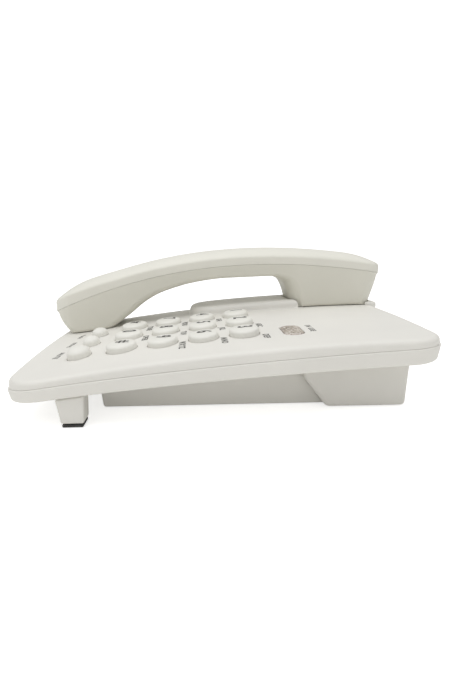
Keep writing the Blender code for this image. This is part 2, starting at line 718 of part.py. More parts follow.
def make_feet(plastic_finish, rubber):
    for side, word in ((1, "right"), (-1, "left")):
        x, half = side * LEG_X, LEG_SIZE / 2
        leg = add_box("front_leg_" + word, (x - half, LEG_Y - half, TIP_HEIGHT + GAP),
                      (x + half, LEG_Y + half, 0.013), plastic_finish)
        for corner in leg.data.vertices:
            if corner.co.z > 0.010:
                corner.co.y += -1.2 * MM if corner.co.y < LEG_Y else 0.4 * MM
                corner.co.z = case_bottom(corner.co.x, corner.co.y) - GAP
            elif corner.co.y < LEG_Y:
                corner.co.y += 0.9 * MM
        add_bevel(leg, 0.9 * MM)
        peg = add_cylinder("leg peg", (x, LEG_Y, 0.010), (x, LEG_Y, 0.0195), 2.0 * MM, sides=12)
        boolean(leg, "UNION", [peg])
        add_box("leg_tip_" + word, (x - half + 0.4 * MM, LEG_Y - half + 1.3 * MM, 0),
                (x + half - 0.4 * MM, LEG_Y + half - 0.4 * MM, TIP_HEIGHT), rubber, 0.5 * MM)
        x = side * 40 * MM
        add_box("rear_pad_" + word, (x - 6 * MM, 75 * MM, 0), (x + 6 * MM, 81 * MM, 1.2 * MM),
                rubber, 0.2 * MM)


def make_socket(name, low, high, mouth, depth, across, upright, finish):
    """A jack: a block with a socket in its face. mouth is the socket's middle on that face."""
    block = add_box(name, low, high, finish)
    inward = Vector(depth)
    side = Vector((abs(inward.y), abs(inward.x), 0)).normalized() * across / 2
    rise = Vector((0, 0, upright / 2))
    start = Vector(mouth) - inward.normalized() * MM
    ends = [start - side - rise, Vector(mouth) + inward + side + rise]
    corner_low = [min(a, b) for a, b in zip(*ends)]
    corner_high = [max(a, b) for a, b in zip(*ends)]
    boolean(block, "DIFFERENCE", [add_box(name + " socket", corner_low, corner_high)])


def make_jacks(finish):
    width, height = LINE_SOCKET
    x, z = LINE_SOCKET_CENTRE
    back = WEDGE_BACK - 0.2 * MM
    make_socket("line_jack", (x - width / 2 - 1.7 * MM, back - 14 * MM, z - height / 2 - 1.7 * MM),
                (x + width / 2 + 1.7 * MM, back, z + height / 2 + 1.7 * MM),
                (x, back, z), (0, -12.4 * MM, 0), width, height, finish)
    width, height = CORD_SOCKET
    y, z = CORD_SOCKET_CENTRE
    left = -WEDGE_HALF_WIDTH + 0.2 * MM
    make_socket("base_handset_jack", (left, y - width / 2 - 1.7 * MM, z - height / 2 - 1.7 * MM),
                (left + 13 * MM, y + width / 2 + 1.7 * MM, z + height / 2 + 1.7 * MM),
                (left, y, z), (11.5 * MM, 0, 0), width, height, finish)


def make_screws(finish):
    profile = [(0, 6.3 * MM), (SCREW_SHAFT, 6.3 * MM), (SCREW_SHAFT, 0), (SCREW_HEAD, 0),
               (SCREW_HEAD, -1.1 * MM), (1.9 * MM, -1.7 * MM), (0, -1.7 * MM)]
    for number, (x, y) in enumerate(SCREW_PLACES, start=1):
        screw = add_turned(f"case_screw_{number}", profile, 12, finish)
        screw.location = (x, y, case_bottom(x, y) + 2.4 * MM)


def make_ringer(finish):
    add_cylinder("ringer_disc", (0, -20 * MM, 3.1 * MM), (0, -20 * MM, 5.1 * MM), 14 * MM, finish, 24)


def make_slide_switches(dark, knob_finish):
    for name, x in SWITCH_COLUMNS.items():
        z = switch_height(x)
        wall = CASE_BACK + CASE_BOW * (1 - (x / CASE_HALF_WIDTH) ** 2)
        inner = wall - WALL - 1.6 * MM
        add_box(name + "_body", (x - 7 * MM, inner - 4.5 * MM, z - 1.8 * MM),
                (x + 7 * MM, inner, z + 2.2 * MM), dark)
        place = x + KNOB_SHIFT[name]
        knob = add_box(name + "_knob", (place - 2.4 * MM, inner + GAP, z - 1.3 * MM),
                       (place + 2.4 * MM, wall + 1.3 * MM, z + 1.3 * MM), knob_finish, 0.3 * MM)
        set_origin(knob, (place, wall, z))


def set_origin(obj, place):
    obj.data.transform(Matrix.Translation(-Vector(place)))
    obj.location = place


# ---------------------------------------------------------------- hook switch

def make_hook(plastic_finish, steel, dark):
    surface = case_top(HANDSET_X, HOOK_Y)
    tip = LEVER_PIVOT[1] + 1.2 * MM
    plunger = add_turned("hook_plunger", [
        (0, surface + 0.1 * MM), (2.8 * MM, surface - 0.1 * MM), (HOOK_RADIUS, surface - 1.2 * MM),
        (HOOK_RADIUS, tip + 1.5 * MM), (5.2 * MM, tip + 1.5 * MM), (5.2 * MM, tip + 0.8 * MM),
        (1.5 * MM, tip + 0.8 * MM), (1.5 * MM, tip), (0, tip)], 20, plastic_finish)
    plunger.location = (HANDSET_X, HOOK_Y, 0)
    x, z = LEVER_PIVOT
    lever = add_box("hook_lever", (HANDSET_X - 2 * MM, HOOK_Y - 3.5 * MM, z - 0.7 * MM),
                    (x + 11 * MM, HOOK_Y + 3.5 * MM, z + 0.9 * MM), plastic_finish)
    hub = add_cylinder("hub", (x, HOOK_Y - 4.5 * MM, z), (x, HOOK_Y + 4.5 * MM, z), 2.7 * MM, sides=14)
    bore = add_cylinder("hub bore", (x, HOOK_Y - 6 * MM, z), (x, HOOK_Y + 6 * MM, z), 1.55 * MM, sides=14)
    boolean(lever, "UNION", [hub])
    boolean(lever, "DIFFERENCE", [bore])
    set_origin(lever, (x, HOOK_Y, z))
    add_cylinder("hook_pivot_pin", (x, HOOK_Y - 8.4 * MM, z), (x, HOOK_Y + 8.4 * MM, z), 1.2 * MM, steel, 12)
    add_box("hook_switch", (x + 5 * MM, HOOK_Y - 3 * MM, 18 * MM),
            (x + 13 * MM, HOOK_Y + 2 * MM, z - 3.9 * MM), dark, 0.4 * MM)


# ---------------------------------------------------------------- handset

def handset_outline(stations):
    return Outline(HANDSET_X, HANDSET_HALF_WIDTH, HANDSET_FRONT, HANDSET_BACK, HANDSET_CORNER, 0,
                   stations, 2, 2)


def clamped(surface, lift, below_seam):
    """A surface raised by lift, kept at least that far under the seam."""
    return lambda x, y: min(surface(x, y) + lift, handset_seam(x, y) - below_seam)


def make_handset_shells(finish):
    even = [s * MM for s in (-84, -66, -46, -26, -6, 16, 38, 60, 80)]
    dome = [(d * MM, lambda x, y, d=d: handset_seam(x, y) + handset_dome(d * MM) + brow(y))
            for d in (0, 0.8, 3, 7)]
    outer = add_stack("handset_outer_shell", handset_outline(even), [
        (0.0, shifted(handset_seam, GAP / 2))] + dome + [
        (13.5 * MM, lambda x, y: handset_seam(x, y) + handset_dome(handset_depth(x, y)) + brow(y))], finish)
    hollow = add_stack("outer hollow", handset_outline(even), [
        (HANDSET_WALL, shifted(handset_seam, -1 * MM)),
        (HANDSET_WALL, shifted(handset_seam, handset_dome(HANDSET_WALL) - 1.6 * HANDSET_WALL)),
        (5 * MM, shifted(handset_seam, handset_dome(5 * MM) - 1.2 * HANDSET_WALL)),
        (10 * MM, shifted(handset_seam, handset_dome(10 * MM) - 1.1 * HANDSET_WALL))])
    boolean(outer, "DIFFERENCE", [hollow])
    fine = [s * MM for s in (-84, -75, -71, -64, -55, -44, -32, -18, 0, 18, 30, 35, 38.5,
                             41, 43.5, 46, 49, 52, 56, 70, 86)]
    inner = add_stack("handset_inner_shell", handset_outline(fine), [
        (3.4 * MM, clamped(handset_under, 0.0, 1.9 * MM)),
        (2.0 * MM, clamped(handset_under, 0.5 * MM, 1.5 * MM)),
        (1.2 * MM, clamped(handset_under, 2.2 * MM, 1.0 * MM)),
        (0.0, shifted(handset_seam, -GAP / 2))], finish)
    cavity = add_stack("inner hollow", handset_outline(fine), [
        (HANDSET_WALL + 3.2 * MM, clamped(handset_under_inside, 0.0, 0.8 * MM)),
        (HANDSET_WALL + 1.2 * MM, clamped(handset_under_inside, 1.2 * MM, 0.5 * MM)),
        (HANDSET_WALL, shifted(handset_seam, 1.5 * MM))])
    boolean(inner, "DIFFERENCE", [cavity])
    boolean(inner, "DIFFERENCE", handset_holes())
    return [outer, inner]


def handset_depth(x, y):
    """How far a place lies inside the handset's outline."""
    return min(HANDSET_HALF_WIDTH - abs(x - HANDSET_X), y - HANDSET_FRONT, HANDSET_BACK - y)


def handset_holes():
    holes = []
    for k in range(7):
        reach = 0 if k == 6 else 6 * MM
        x = HANDSET_X + reach * math.cos(math.tau * k / 6)
        y = EAR_Y + reach * math.sin(math.tau * k / 6)
        holes.append(add_cylinder("ear hole", (x, y, 0.034), (x, y, 0.044), 1.2 * MM, sides=8))
    for k in range(3):
        x = HANDSET_X + (k - 1) * 5 * MM
        holes.append(add_box("mouth slot", (x - 0.8 * MM, MOUTH_Y - 5 * MM, 0.018),
                             (x + 0.8 * MM, MOUTH_Y + 5 * MM, 0.028)))
    width, height = CORD_SOCKET
    low = (HANDSET_X - width / 2 - 2 * MM, -104 * MM, HANDSET_SOCKET_Z - height / 2 - 2 * MM)
    high = (HANDSET_X + width / 2 + 2 * MM, -94 * MM, HANDSET_SOCKET_Z + height / 2 + 2 * MM)
    holes.append(add_box("socket mouth", low, high))
    return holes


def make_handset_insides(dark, rubber, steel):
    ear_floor = case_top(HANDSET_X, EAR_Y) + REST_GAP + HANDSET_WALL + 0.9 * MM
    gasket = add_turned("receiver_gasket", [
        (11 * MM, 1.2 * MM), (15 * MM, 1.2 * MM), (15 * MM, 0), (11 * MM, 0), (11 * MM, 1.2 * MM)], 24, rubber)
    gasket.location = (HANDSET_X, EAR_Y, ear_floor)
    capsule = add_turned("receiver_capsule", [
        (0, 8 * MM), (9 * MM, 8 * MM), (9 * MM, 5 * MM), (15 * MM, 4.2 * MM), (15 * MM, 0), (0, 0)], 24, dark)
    capsule.location = (HANDSET_X, EAR_Y, ear_floor + 1.5 * MM)
    mouth_floor = case_top(HANDSET_X, MOUTH_Y) + REST_GAP + HANDSET_WALL + 1.7 * MM
    microphone = add_turned("microphone", [(0, 5 * MM), (4.8 * MM, 5 * MM), (4.8 * MM, 0), (0, 0)], 18, steel)
    microphone.location = (HANDSET_X, MOUTH_Y, mouth_floor)
    boot = add_turned("mic_boot", [
        (5.1 * MM, 4 * MM), (6.6 * MM, 4 * MM), (6.6 * MM, 0), (5.1 * MM, 0), (5.1 * MM, 4 * MM)], 18, rubber)
    boot.location = (HANDSET_X, MOUTH_Y, mouth_floor)
    weight = add_box("handset_weight", (HANDSET_X - 11 * MM, 58 * MM, 0.0545),
                     (HANDSET_X + 11 * MM, 88 * MM, 0.0595),
                     steel, 0.4 * MM)
    return [gasket, capsule, microphone, boot, weight]


def make_handset_jack(finish):
    width, height = CORD_SOCKET
    front, z = -98.5 * MM, HANDSET_SOCKET_Z
    make_socket("handset_cord_jack", (HANDSET_X - width / 2 - 1.7 * MM, front, z - height / 2 - 1.7 * MM),
                (HANDSET_X + width / 2 + 1.7 * MM, front + 12 * MM, z + height / 2 + 1.7 * MM),
                (HANDSET_X, front, z), (0, 10.5 * MM, 0), width, height, finish)
    return bpy.data.objects["handset_cord_jack"]


def make_handset(finish, dark, rubber, steel):
    pieces = make_handset_shells(finish) + make_handset_insides(dark, rubber, steel)
    pieces.append(make_handset_jack(dark))
    carrier = add_joint_empty("handset_joint", (HANDSET_X, 0, handset_seam(HANDSET_X, 0)))
    hang_on(carrier, pieces)


def main():
    case_white = plastic("case plastic", IVORY)
    handset_white = plastic("handset plastic", IVORY)
    key_white = plastic("key plastic", (0.82, 0.81, 0.76), 0.4)
    rubber = plastic("rubber", (0.045, 0.045, 0.045), 0.8)
    laminate = plastic("circuit board", (0.05, 0.22, 0.09), 0.5)
    dark = plastic("dark plastic", (0.06, 0.06, 0.065), 0.5)
    steel = plastic("steel", (0.55, 0.55, 0.56), 0.35, 1.0)
    brass = plastic("brass", (0.72, 0.55, 0.25), 0.4, 1.0)
    lens_finish = plastic("tinted lens", (0.45, 0.38, 0.34), 0.2)
    amber = plastic("lamp", (0.8, 0.25, 0.15), 0.2)
    mat_finish = plastic("keypad rubber", (0.5, 0.5, 0.48), 0.7)
    make_upper_case(case_white)
    make_lower_case(case_white)
    make_rear_stand(case_white)
    make_feet(case_white, rubber)
    make_keys(key_white)
    make_deck_insides(mat_finish, laminate, amber, lens_finish)
    make_jacks(dark)
    make_screws(steel)
    make_ringer(brass)
    make_slide_switches(dark, dark)
    make_hook(key_white, steel, dark)
    make_handset(handset_white, dark, rubber, steel)


clear_scene()
PHONE = new_collection("corded_telephone")
CUTTERS = new_collection("cutters")
main()
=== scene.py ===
"""The corded desk telephone's looks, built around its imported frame, in metres, +Z up."""

import json
import math

import bmesh
import bpy
import numpy as np
from mathutils import Matrix, Vector


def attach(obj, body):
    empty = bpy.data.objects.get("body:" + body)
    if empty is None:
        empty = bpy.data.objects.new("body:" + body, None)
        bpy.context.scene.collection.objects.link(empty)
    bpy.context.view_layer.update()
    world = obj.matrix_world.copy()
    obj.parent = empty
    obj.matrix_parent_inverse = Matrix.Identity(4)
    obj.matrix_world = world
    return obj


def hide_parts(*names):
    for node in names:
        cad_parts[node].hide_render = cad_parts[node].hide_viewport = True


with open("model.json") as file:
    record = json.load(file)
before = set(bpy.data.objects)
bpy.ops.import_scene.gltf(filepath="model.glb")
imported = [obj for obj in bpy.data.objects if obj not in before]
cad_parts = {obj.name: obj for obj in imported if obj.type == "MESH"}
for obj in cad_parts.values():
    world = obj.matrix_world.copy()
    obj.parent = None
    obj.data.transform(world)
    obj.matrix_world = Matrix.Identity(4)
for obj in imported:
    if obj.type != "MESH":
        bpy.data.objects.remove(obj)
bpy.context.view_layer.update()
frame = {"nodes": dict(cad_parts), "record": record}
SCENE = bpy.context.scene

MM = 0.001
GAP = 0.3 * MM
SMALLEST_CORNER, SHARP_EDGE = 0.6 * MM, math.radians(50)

# A surface along the phone: its height at y = 0, slope, bend, and how much fuller its front is
CASE_TOP_SHAPE, TOP_NOSE_START = (0.0332, 0.094, 0.44, 3.4), -0.080
PARTING_SHAPE, CASE_BOTTOM_SHAPE = (0.0282, 0.0886, 0.21, -0.26), (0.0210, 0.0796, 0.20, -0.30)
LOWER_NOSE_START = -0.050

# Case, wedge, stand and legs
CASE_HALF_WIDTH, CASE_FRONT, CASE_BACK = 75 * MM, -101.3 * MM, 98 * MM
CASE_CORNER, CASE_BOW, CROWN = 17 * MM, 1.6 * MM, 1.2 * MM
WALL, LEDGE, TOP_FILLET = 2.2 * MM, 0.5 * MM, 2.6 * MM
WEDGE_HALF_WIDTH, WEDGE_FRONT, WEDGE_BACK = 47 * MM, -62 * MM, 84.6 * MM
WEDGE_BOTTOM, WEDGE_STEP_Y, STEPPED_BOTTOM = 0.4 * MM, 49 * MM, 6.2 * MM
STAND_HALF_WIDTH, STAND_FRONT, STAND_BACK = 53.5 * MM, 48 * MM, 87.5 * MM
STAND_FLOOR, STAND_WALL = 2.4 * MM, 2.5 * MM
KEYHOLE_X, PAD_X = 30 * MM, 40 * MM
LEG_X, LEG_SIZE, LEG_Y, TIP_HEIGHT = 66.5 * MM, 11 * MM, -71.5 * MM, 1.5 * MM

# Keys, window and handset
KEY_COLUMNS = [-17.0 * MM, 10.8 * MM, 38.6 * MM]
KEY_ROWS = [8.2 * MM, -12.3 * MM, -32.8 * MM, -53.3 * MM]
KEY_RADIUS, KEY_ASPECT, KEY_SHOULDER = 9.6 * MM, 0.79, 1.9 * MM
KEY_HEIGHT, KEY_CROWN, FUNCTION_KEY_DOME = 3.1, 0.6, 3.4
FUNCTION_COLUMNS, FUNCTION_Y = [-9.5 * MM, 15.0 * MM, 39.5 * MM], -74.2 * MM
FUNCTION_RADII, FUNCTION_ASPECT = [6.1 * MM, 6.1 * MM, 7.7 * MM], 0.74
HOLE_CLEARANCE = 0.28 * MM
DECK_Y = -22 * MM
LENS_CENTRE, LENS_HALF = (39.2 * MM, 32.2 * MM), (11.3 * MM, 5.2 * MM)
HANDSET_X, HANDSET_HALF_WIDTH = -52 * MM, 22 * MM
HANDSET_FRONT, HANDSET_BACK, HANDSET_CORNER = -106 * MM, 105 * MM, 12 * MM
HANDSET_WALL, HOUSING_CORNER, MOUTH_CORNER, REST_GAP = 1.8 * MM, 13 * MM, 7.5 * MM, 0.25 * MM
UNDER_ROLL, MOUTH_Y, EAR_Y = 2.2 * MM, -79 * MM, 77 * MM
HUMP_X, HUMP_HEIGHT, LIP_HEIGHT = -51.5 * MM, 5.2 * MM, 1.9 * MM

# Hook button, sockets, switches and screws
HOOK_Y, HOOK_RADIUS, LEVER_Z = 60 * MM, 4.1 * MM, 28.4 * MM
LINE_SOCKET, CORD_SOCKET = (9.8 * MM, 6.8 * MM), (7.8 * MM, 6.6 * MM)
LINE_SOCKET_Z, SOCKET_RIM = 14 * MM, 2 * MM
CORD_MOUTH_Y, CORD_MOUTH_Z = (-38 * MM, -34 * MM), (7.5 * MM, 11.5 * MM)
HANDSET_SOCKET_Z, CONTACT_PITCH = (28.5 * MM, 32.5 * MM), 1.27
RINGER_SWITCH_X, DIAL_SWITCH_X = 22 * MM, 48 * MM
SCREW_PLACES = [(x * MM, y * MM) for y in (-38, 52) for x in (63, -63)]
SCREW_SHAFT, SCREW_HEAD = 1.3 * MM, 2.7 * MM


# -------- surfaces

def nose(y, start):
    """The square of how far a place is in front of the start, for the case's fuller front edge."""
    return max(start - y, 0.0) ** 2


def lengthwise(shape, nose_start, y):
    height, slope, bend, fuller = shape
    return height + slope * y - bend * y * y + fuller * nose(y, nose_start)


def case_top(x, y):
    return lengthwise(CASE_TOP_SHAPE, TOP_NOSE_START, y) + CROWN * (1 - (x / CASE_HALF_WIDTH) ** 2)


def parting(x, y):
    return lengthwise(PARTING_SHAPE, LOWER_NOSE_START, y)


def case_bottom(x, y):
    return lengthwise(CASE_BOTTOM_SHAPE, LOWER_NOSE_START, y)


def handset_seam(x, y):
    return 0.06434 + 0.0902 * y - 1.487 * y * y + 2.0 * y ** 3


def shifted(surface, by):
    return lambda x, y: surface(x, y) + by


def levels(surface, *pairs):
    """Sections at insets from an outline and lifts from a surface, both given in millimetres."""
    return [(inset * MM, shifted(surface, lift * MM)) for inset, lift in pairs]


def smooth_profile(points):
    """A monotone cubic through the points, as a function of its first coordinate."""
    ys = np.array([p[0] for p in points]) * MM
    zs = np.array([p[1] for p in points]) * MM
    step = np.diff(ys)
    slope = np.diff(zs) / step
    tangent = np.zeros(len(ys))
    tangent[0], tangent[-1] = slope[0], slope[-1]
    for i in range(1, len(ys) - 1):
        if slope[i - 1] * slope[i] > 0:
            w1, w2 = 2 * step[i] + step[i - 1], step[i] + 2 * step[i - 1]
            tangent[i] = (w1 + w2) / (w1 / slope[i - 1] + w2 / slope[i])

    def height(y):
        k = int(np.clip(np.searchsorted(ys, y) - 1, 0, len(step) - 1))
        t = min(max((y - ys[k]) / step[k], 0.0), 1.0)
        return float((1 + 2 * t) * (1 - t) ** 2 * zs[k] + t * (1 - t) ** 2 * step[k] * tangent[k]
                     + t * t * (3 - 2 * t) * zs[k + 1] + t * t * (t - 1) * step[k] * tangent[k + 1])

    return height


# The handset's underside, from the mouthpiece end: its housing, the grip, and the earpiece's housing
underside = smooth_profile([
    (-106, 36), (-105.2, 34.6), (-95.4, 21.4), (-93.8, 20), (-74.5, 20), (-71, 24), (-64.5, 29),
    (-57, 34.8), (-48, 42), (-38.6, 47.2), (-28, 50.8), (-19.5, 53.1), (-0.4, 56.3), (18.7, 57.8),
    (30, 58.1), (36.8, 56.5), (40.6, 54.3), (43.3, 49.5), (45.5, 43), (47.5, 36), (97.3, 36),
    (98.6, 39.5), (105, 58.6)])


def corner_lag(x, y):
    """How far a housing's end wall falls back towards its sides, which rounds its upright edges."""
    share = min(max((y + 60 * MM) / (40 * MM), 0.0), 1.0)
    corner = MOUTH_CORNER + (HOUSING_CORNER - MOUTH_CORNER) * share
    over = min(max(abs(x - HANDSET_X) - (HANDSET_HALF_WIDTH - corner), 0.0), corner * 0.97)
    return corner - math.sqrt(corner ** 2 - over ** 2)


def handset_under(x, y):
    """The underside, with every end wall rounded at its sides, kept just clear of the case."""
    side = np.interp(y, [MOUTH_Y - 4 * MM, MOUTH_Y + 4 * MM, 0, 20 * MM, EAR_Y - 5 * MM, EAR_Y + 5 * MM],
                     [-1, 1, 1, -1, -1, 1])
    return max(underside(y + side * corner_lag(x, y)), case_top(x, y) + REST_GAP)


def brow(y):
    """How much fuller the handset's outer cover is towards the mouthpiece end."""
    share = min(max((-y - 60 * MM) / (40 * MM), 0.0), 1.0)
    return 1.6 * MM * share * share * (3 - 2 * share)


def handset_crown(x, y):
    """The outer cover's height: rounded across, and rounded down to both ends."""
    half, length = HANDSET_HALF_WIDTH, (HANDSET_BACK - HANDSET_FRONT) / 2
    from_x, from_y = abs(x - HANDSET_X), abs(y - (HANDSET_BACK + HANDSET_FRONT) / 2)
    out_x = max(from_x - half + HANDSET_CORNER, 0.0)
    out_y = max(from_y - length + HANDSET_CORNER, 0.0)
    edge = HANDSET_CORNER - math.hypot(out_x, out_y)
    if out_x <= 0 or out_y <= 0:
        edge = min(half - from_x, length - from_y)
    soft = half - math.hypot(from_x, max(from_y - length + half, 0.0))
    share = min(max(edge / (9 * MM), 0.0), 1.0)
    share = share * share * (3 - 2 * share)
    depth = (1 - share) * edge + share * soft
    run = min(max(1 - depth / half, 0.0), 1.0)
    return handset_seam(x, y) + brow(y) + 4.0 * MM + 6.0 * MM * math.sqrt(1 - run * run)


def clamped(surface, lift, below_seam):
    """A surface raised by lift, kept at least that far under the seam."""
    return lambda x, y: min(surface(x, y) + lift, handset_seam(x, y) - below_seam)


# -------- outlines and bodies

class Outline:
    """A rounded rectangle that can be inset, as four sides that meet in the corners' middles."""

    def __init__(self, middle_x, half_x, front, back, corner, bow=0.0, stations=(), across=12, arc=8):
        self.middle_x, self.half_x = middle_x, half_x
        self.front, self.back, self.corner, self.bow = front, back, corner, bow
        self.stations, self.across, self.arc = stations, across, arc

    def sides(self, inset):
        half = self.half_x - inset
        front, back = self.front + inset, self.back - inset
        radius = max(self.corner - inset, SMALLEST_CORNER)
        eighth = [math.pi / 4 * k / self.arc for k in range(self.arc + 1)]
        end = half - radius
        flat = [end * (2 * k / self.across - 1) for k in range(self.across + 1)]
        sweep = [(end + radius * math.sin(a), radius * (1 - math.cos(a))) for a in eighth[1:]]
        row = [(-x, d) for x, d in reversed(sweep)] + [(x, 0.0) for x in flat] + sweep
        rise = [(radius * (1 - math.cos(a)), radius - radius * math.sin(a))
                for a in reversed(eighth[:-1])]
        low = [(front + d, x) for x, d in rise]
        high = [(back - d, x) for x, d in reversed(rise)]
        lowest, highest = front + radius + 0.3 * MM, back - radius - 0.3 * MM
        middle = [(min(max(y, lowest), highest), 0.0) for y in self.stations]
        corner_in = radius * (1 - math.cos(math.pi / 4))
        side = [(front + corner_in, corner_in)] + low + middle + high + [(back - corner_in, corner_in)]
        spread = {}
        for k, (y, d) in enumerate(side):
            spread.setdefault(round(y, 7), []).append(k)
        for same in spread.values():
            for n, k in enumerate(same):
                side[k] = (side[k][0] + 1e-5 * n, side[k][1])
        front_row = [(x, front + d) for x, d in row]
        back_row = [(x, back - d) for x, d in row]
        left = [(-half + d, y) for y, d in side]
        right = [(half - d, y) for y, d in side]
        return [[self.bowed(p) for p in line] for line in (front_row, right, back_row, left)]

    def bowed(self, point):
        x, y = point
        share = 1 - min(abs(x) / self.half_x, 1.0) ** 2
        reach = self.back if y > 0 else -self.front
        return (self.middle_x + x, y + self.bow * share * y / reach)


def coons(front, right, back, left):
    """Points that fill four sides, as an array of rows from the front, each from left to right."""
    front, right, back, left = (np.array(side) for side in (front, right, back, left))
    v = ((left[:, 1] - left[0, 1]) / (left[-1, 1] - left[0, 1]))[:, None, None]
    u = ((front[:, 0] - front[0, 0]) / (front[-1, 0] - front[0, 0]))[None, :, None]
    corners = ((1 - u) * (1 - v) * front[0] + u * (1 - v) * front[-1]
               + (1 - u) * v * back[0] + u * v * back[-1])
    return ((1 - v) * front[None] + v * back[None] + (1 - u) * left[:, None] + u * right[:, None]
            - corners)


def stacked_body(name, outline, sections):
    """A closed mesh through sections of (inset, height function), from the lowest to the highest."""
    points, faces, rings = [], [], []
    for inset, height in sections:
        front, right, back, left = outline.sides(inset)
        ring = front + right[1:] + back[-2::-1] + left[-2:0:-1]
        rings.append(range(len(points), len(points) + len(ring)))
        points += [(x, y, height(x, y)) for x, y in ring]
    for low, high in zip(rings, rings[1:]):
        count = len(low)
        faces += [(low[k], low[(k + 1) % count], high[(k + 1) % count], high[k]) for k in range(count)]
    ends = ((sections[0], rings[0], False), (sections[-1], rings[-1], True))
    for (inset, height), ring, upward in ends:
        grid = coons(*outline.sides(inset))
        last_row, last_column = grid.shape[0] - 1, grid.shape[1] - 1
        border = ([(0, j) for j in range(last_column + 1)]
                  + [(i, last_column) for i in range(1, last_row + 1)]
                  + [(last_row, j) for j in range(last_column - 1, -1, -1)]
                  + [(i, 0) for i in range(last_row - 1, 0, -1)])
        index = dict(zip(border, ring))
        for i in range(1, last_row):
            for j in range(1, last_column):
                x, y = float(grid[i, j, 0]), float(grid[i, j, 1])
                index[i, j] = len(points)
                points.append((x, y, height(x, y)))
        for i in range(last_row):
            for j in range(last_column):
                face = (index[i, j], index[i, j + 1], index[i + 1, j + 1], index[i + 1, j])
                faces.append(face if upward else face[::-1])
    mesh = bpy.data.meshes.new(name)
    mesh.from_pydata(points, [], faces)
    return add_object(name, mesh)


def rounded_up(inset, reach, rise, base, steps=9):
    """Sections round an upper edge: from upright at inset to level at inset + reach, rise higher."""
    turns = [math.pi / 2 * k / steps for k in range(1, steps + 1)]
    return [(inset + reach * (1 - math.cos(a)), lambda x, y, s=math.sin(a): base(x, y) + rise(x, y) * s)
            for a in turns]


def rounded_down(inset, reach, rise, base, steps=7):
    """Sections round a lower edge: from level at inset + reach to upright at inset."""
    turns = [math.pi / 2 * k / steps for k in range(steps + 1)]
    return [(inset + reach * (1 - math.sin(a)), shifted(base, rise * (1 - math.cos(a)))) for a in turns]


# -------- mesh helpers

def add_object(name, data):
    made = bpy.data.objects.new(name, data)
    SCENE.collection.objects.link(made)
    return made


def mesh_from(bm, name):
    bmesh.ops.recalc_face_normals(bm, faces=bm.faces)
    mesh = bpy.data.meshes.new(name)
    bm.to_mesh(mesh)
    bm.free()
    return mesh


def round_edges(bm, edges, radius, segments):
    bmesh.ops.bevel(bm, geom=edges, offset=radius, segments=segments, affect="EDGES", profile=0.5)


def box(name, low, high, radius=0.0):
    bm = bmesh.new()
    bmesh.ops.create_cube(bm, size=1.0)
    bmesh.ops.scale(bm, vec=Vector(high) - Vector(low), verts=bm.verts)
    bmesh.ops.translate(bm, vec=(Vector(low) + Vector(high)) / 2, verts=bm.verts)
    if radius:
        round_edges(bm, list(bm.edges), radius, 4)
    return add_object(name, mesh_from(bm, name))


def prism(name, outline_yz, half, radius, segments):
    """A flat outline in Y and Z, extruded along X, with its sharper edges rounded."""
    bm = bmesh.new()
    face = bm.faces.new([bm.verts.new((-half, y, z)) for y, z in outline_yz])
    grown = bmesh.ops.extrude_face_region(bm, geom=[face])
    moved = [v for v in grown["geom"] if isinstance(v, bmesh.types.BMVert)]
    bmesh.ops.translate(bm, vec=(2 * half, 0, 0), verts=moved)
    bmesh.ops.recalc_face_normals(bm, faces=bm.faces)
    sharp = [e for e in bm.edges if e.calc_face_angle(0) > SHARP_EDGE]
    round_edges(bm, sharp, radius, segments)
    return add_object(name, mesh_from(bm, name))


def turned(name, profile, sides=64, aspect=1.0, place=Matrix.Identity(4)):
    """A turned solid from (radius, height) points, top to bottom, with both ends on the axis."""
    points, faces = [], []
    rings = []
    for r, z in profile:
        if r < 1e-9:
            rings.append([len(points)])
            points.append((0, 0, z))
        else:
            rings.append(list(range(len(points), len(points) + sides)))
            points += [(r * math.cos(math.tau * k / sides), r * aspect * math.sin(math.tau * k / sides), z)
                       for k in range(sides)]
    closed = rings + ([rings[0]] if len(rings[0]) > 1 else [])
    for upper, lower in zip(closed, closed[1:]):
        for k in range(sides):
            n = (k + 1) % sides
            ring = [upper[k % len(upper)], lower[k % len(lower)],
                    lower[n % len(lower)], upper[n % len(upper)]]
            faces.append(tuple(dict.fromkeys(ring)))
    mesh = bpy.data.meshes.new(name)
    mesh.from_pydata(points, [], faces)
    mesh.transform(place)
    return add_object(name, mesh)


def rod(name, start, end, radius, sides=32):
    """A cylinder between two points."""
    start, end = Vector(start), Vector(end)
    place = (Matrix.Translation(start)
             @ Vector((0, 0, 1)).rotation_difference(end - start).to_matrix().to_4x4())
    length = (end - start).length
    return turned(name, [(0, length), (radius, length), (radius, 0), (0, 0)], sides, place=place)


def carve(target, *steps):
    """Joins or cuts tools, as (operation, tools) steps, and leaves the finished mesh."""
    for operation, tools in steps:
        group = bpy.data.collections.new("tools")
        SCENE.collection.children.link(group)
        for tool in tools:
            SCENE.collection.objects.unlink(tool)
            group.objects.link(tool)
        change = target.modifiers.new(operation, "BOOLEAN")
        change.operation = operation
        change.solver = "MANIFOLD"
        change.operand_type = "COLLECTION"
        change.collection = group
        graph = bpy.context.evaluated_depsgraph_get()
        finished = bpy.data.meshes.new_from_object(target.evaluated_get(graph))
        target.modifiers.clear()
        target.data = finished
        for tool in tools:
            bpy.data.objects.remove(tool)
        bpy.data.collections.remove(group)
    return target


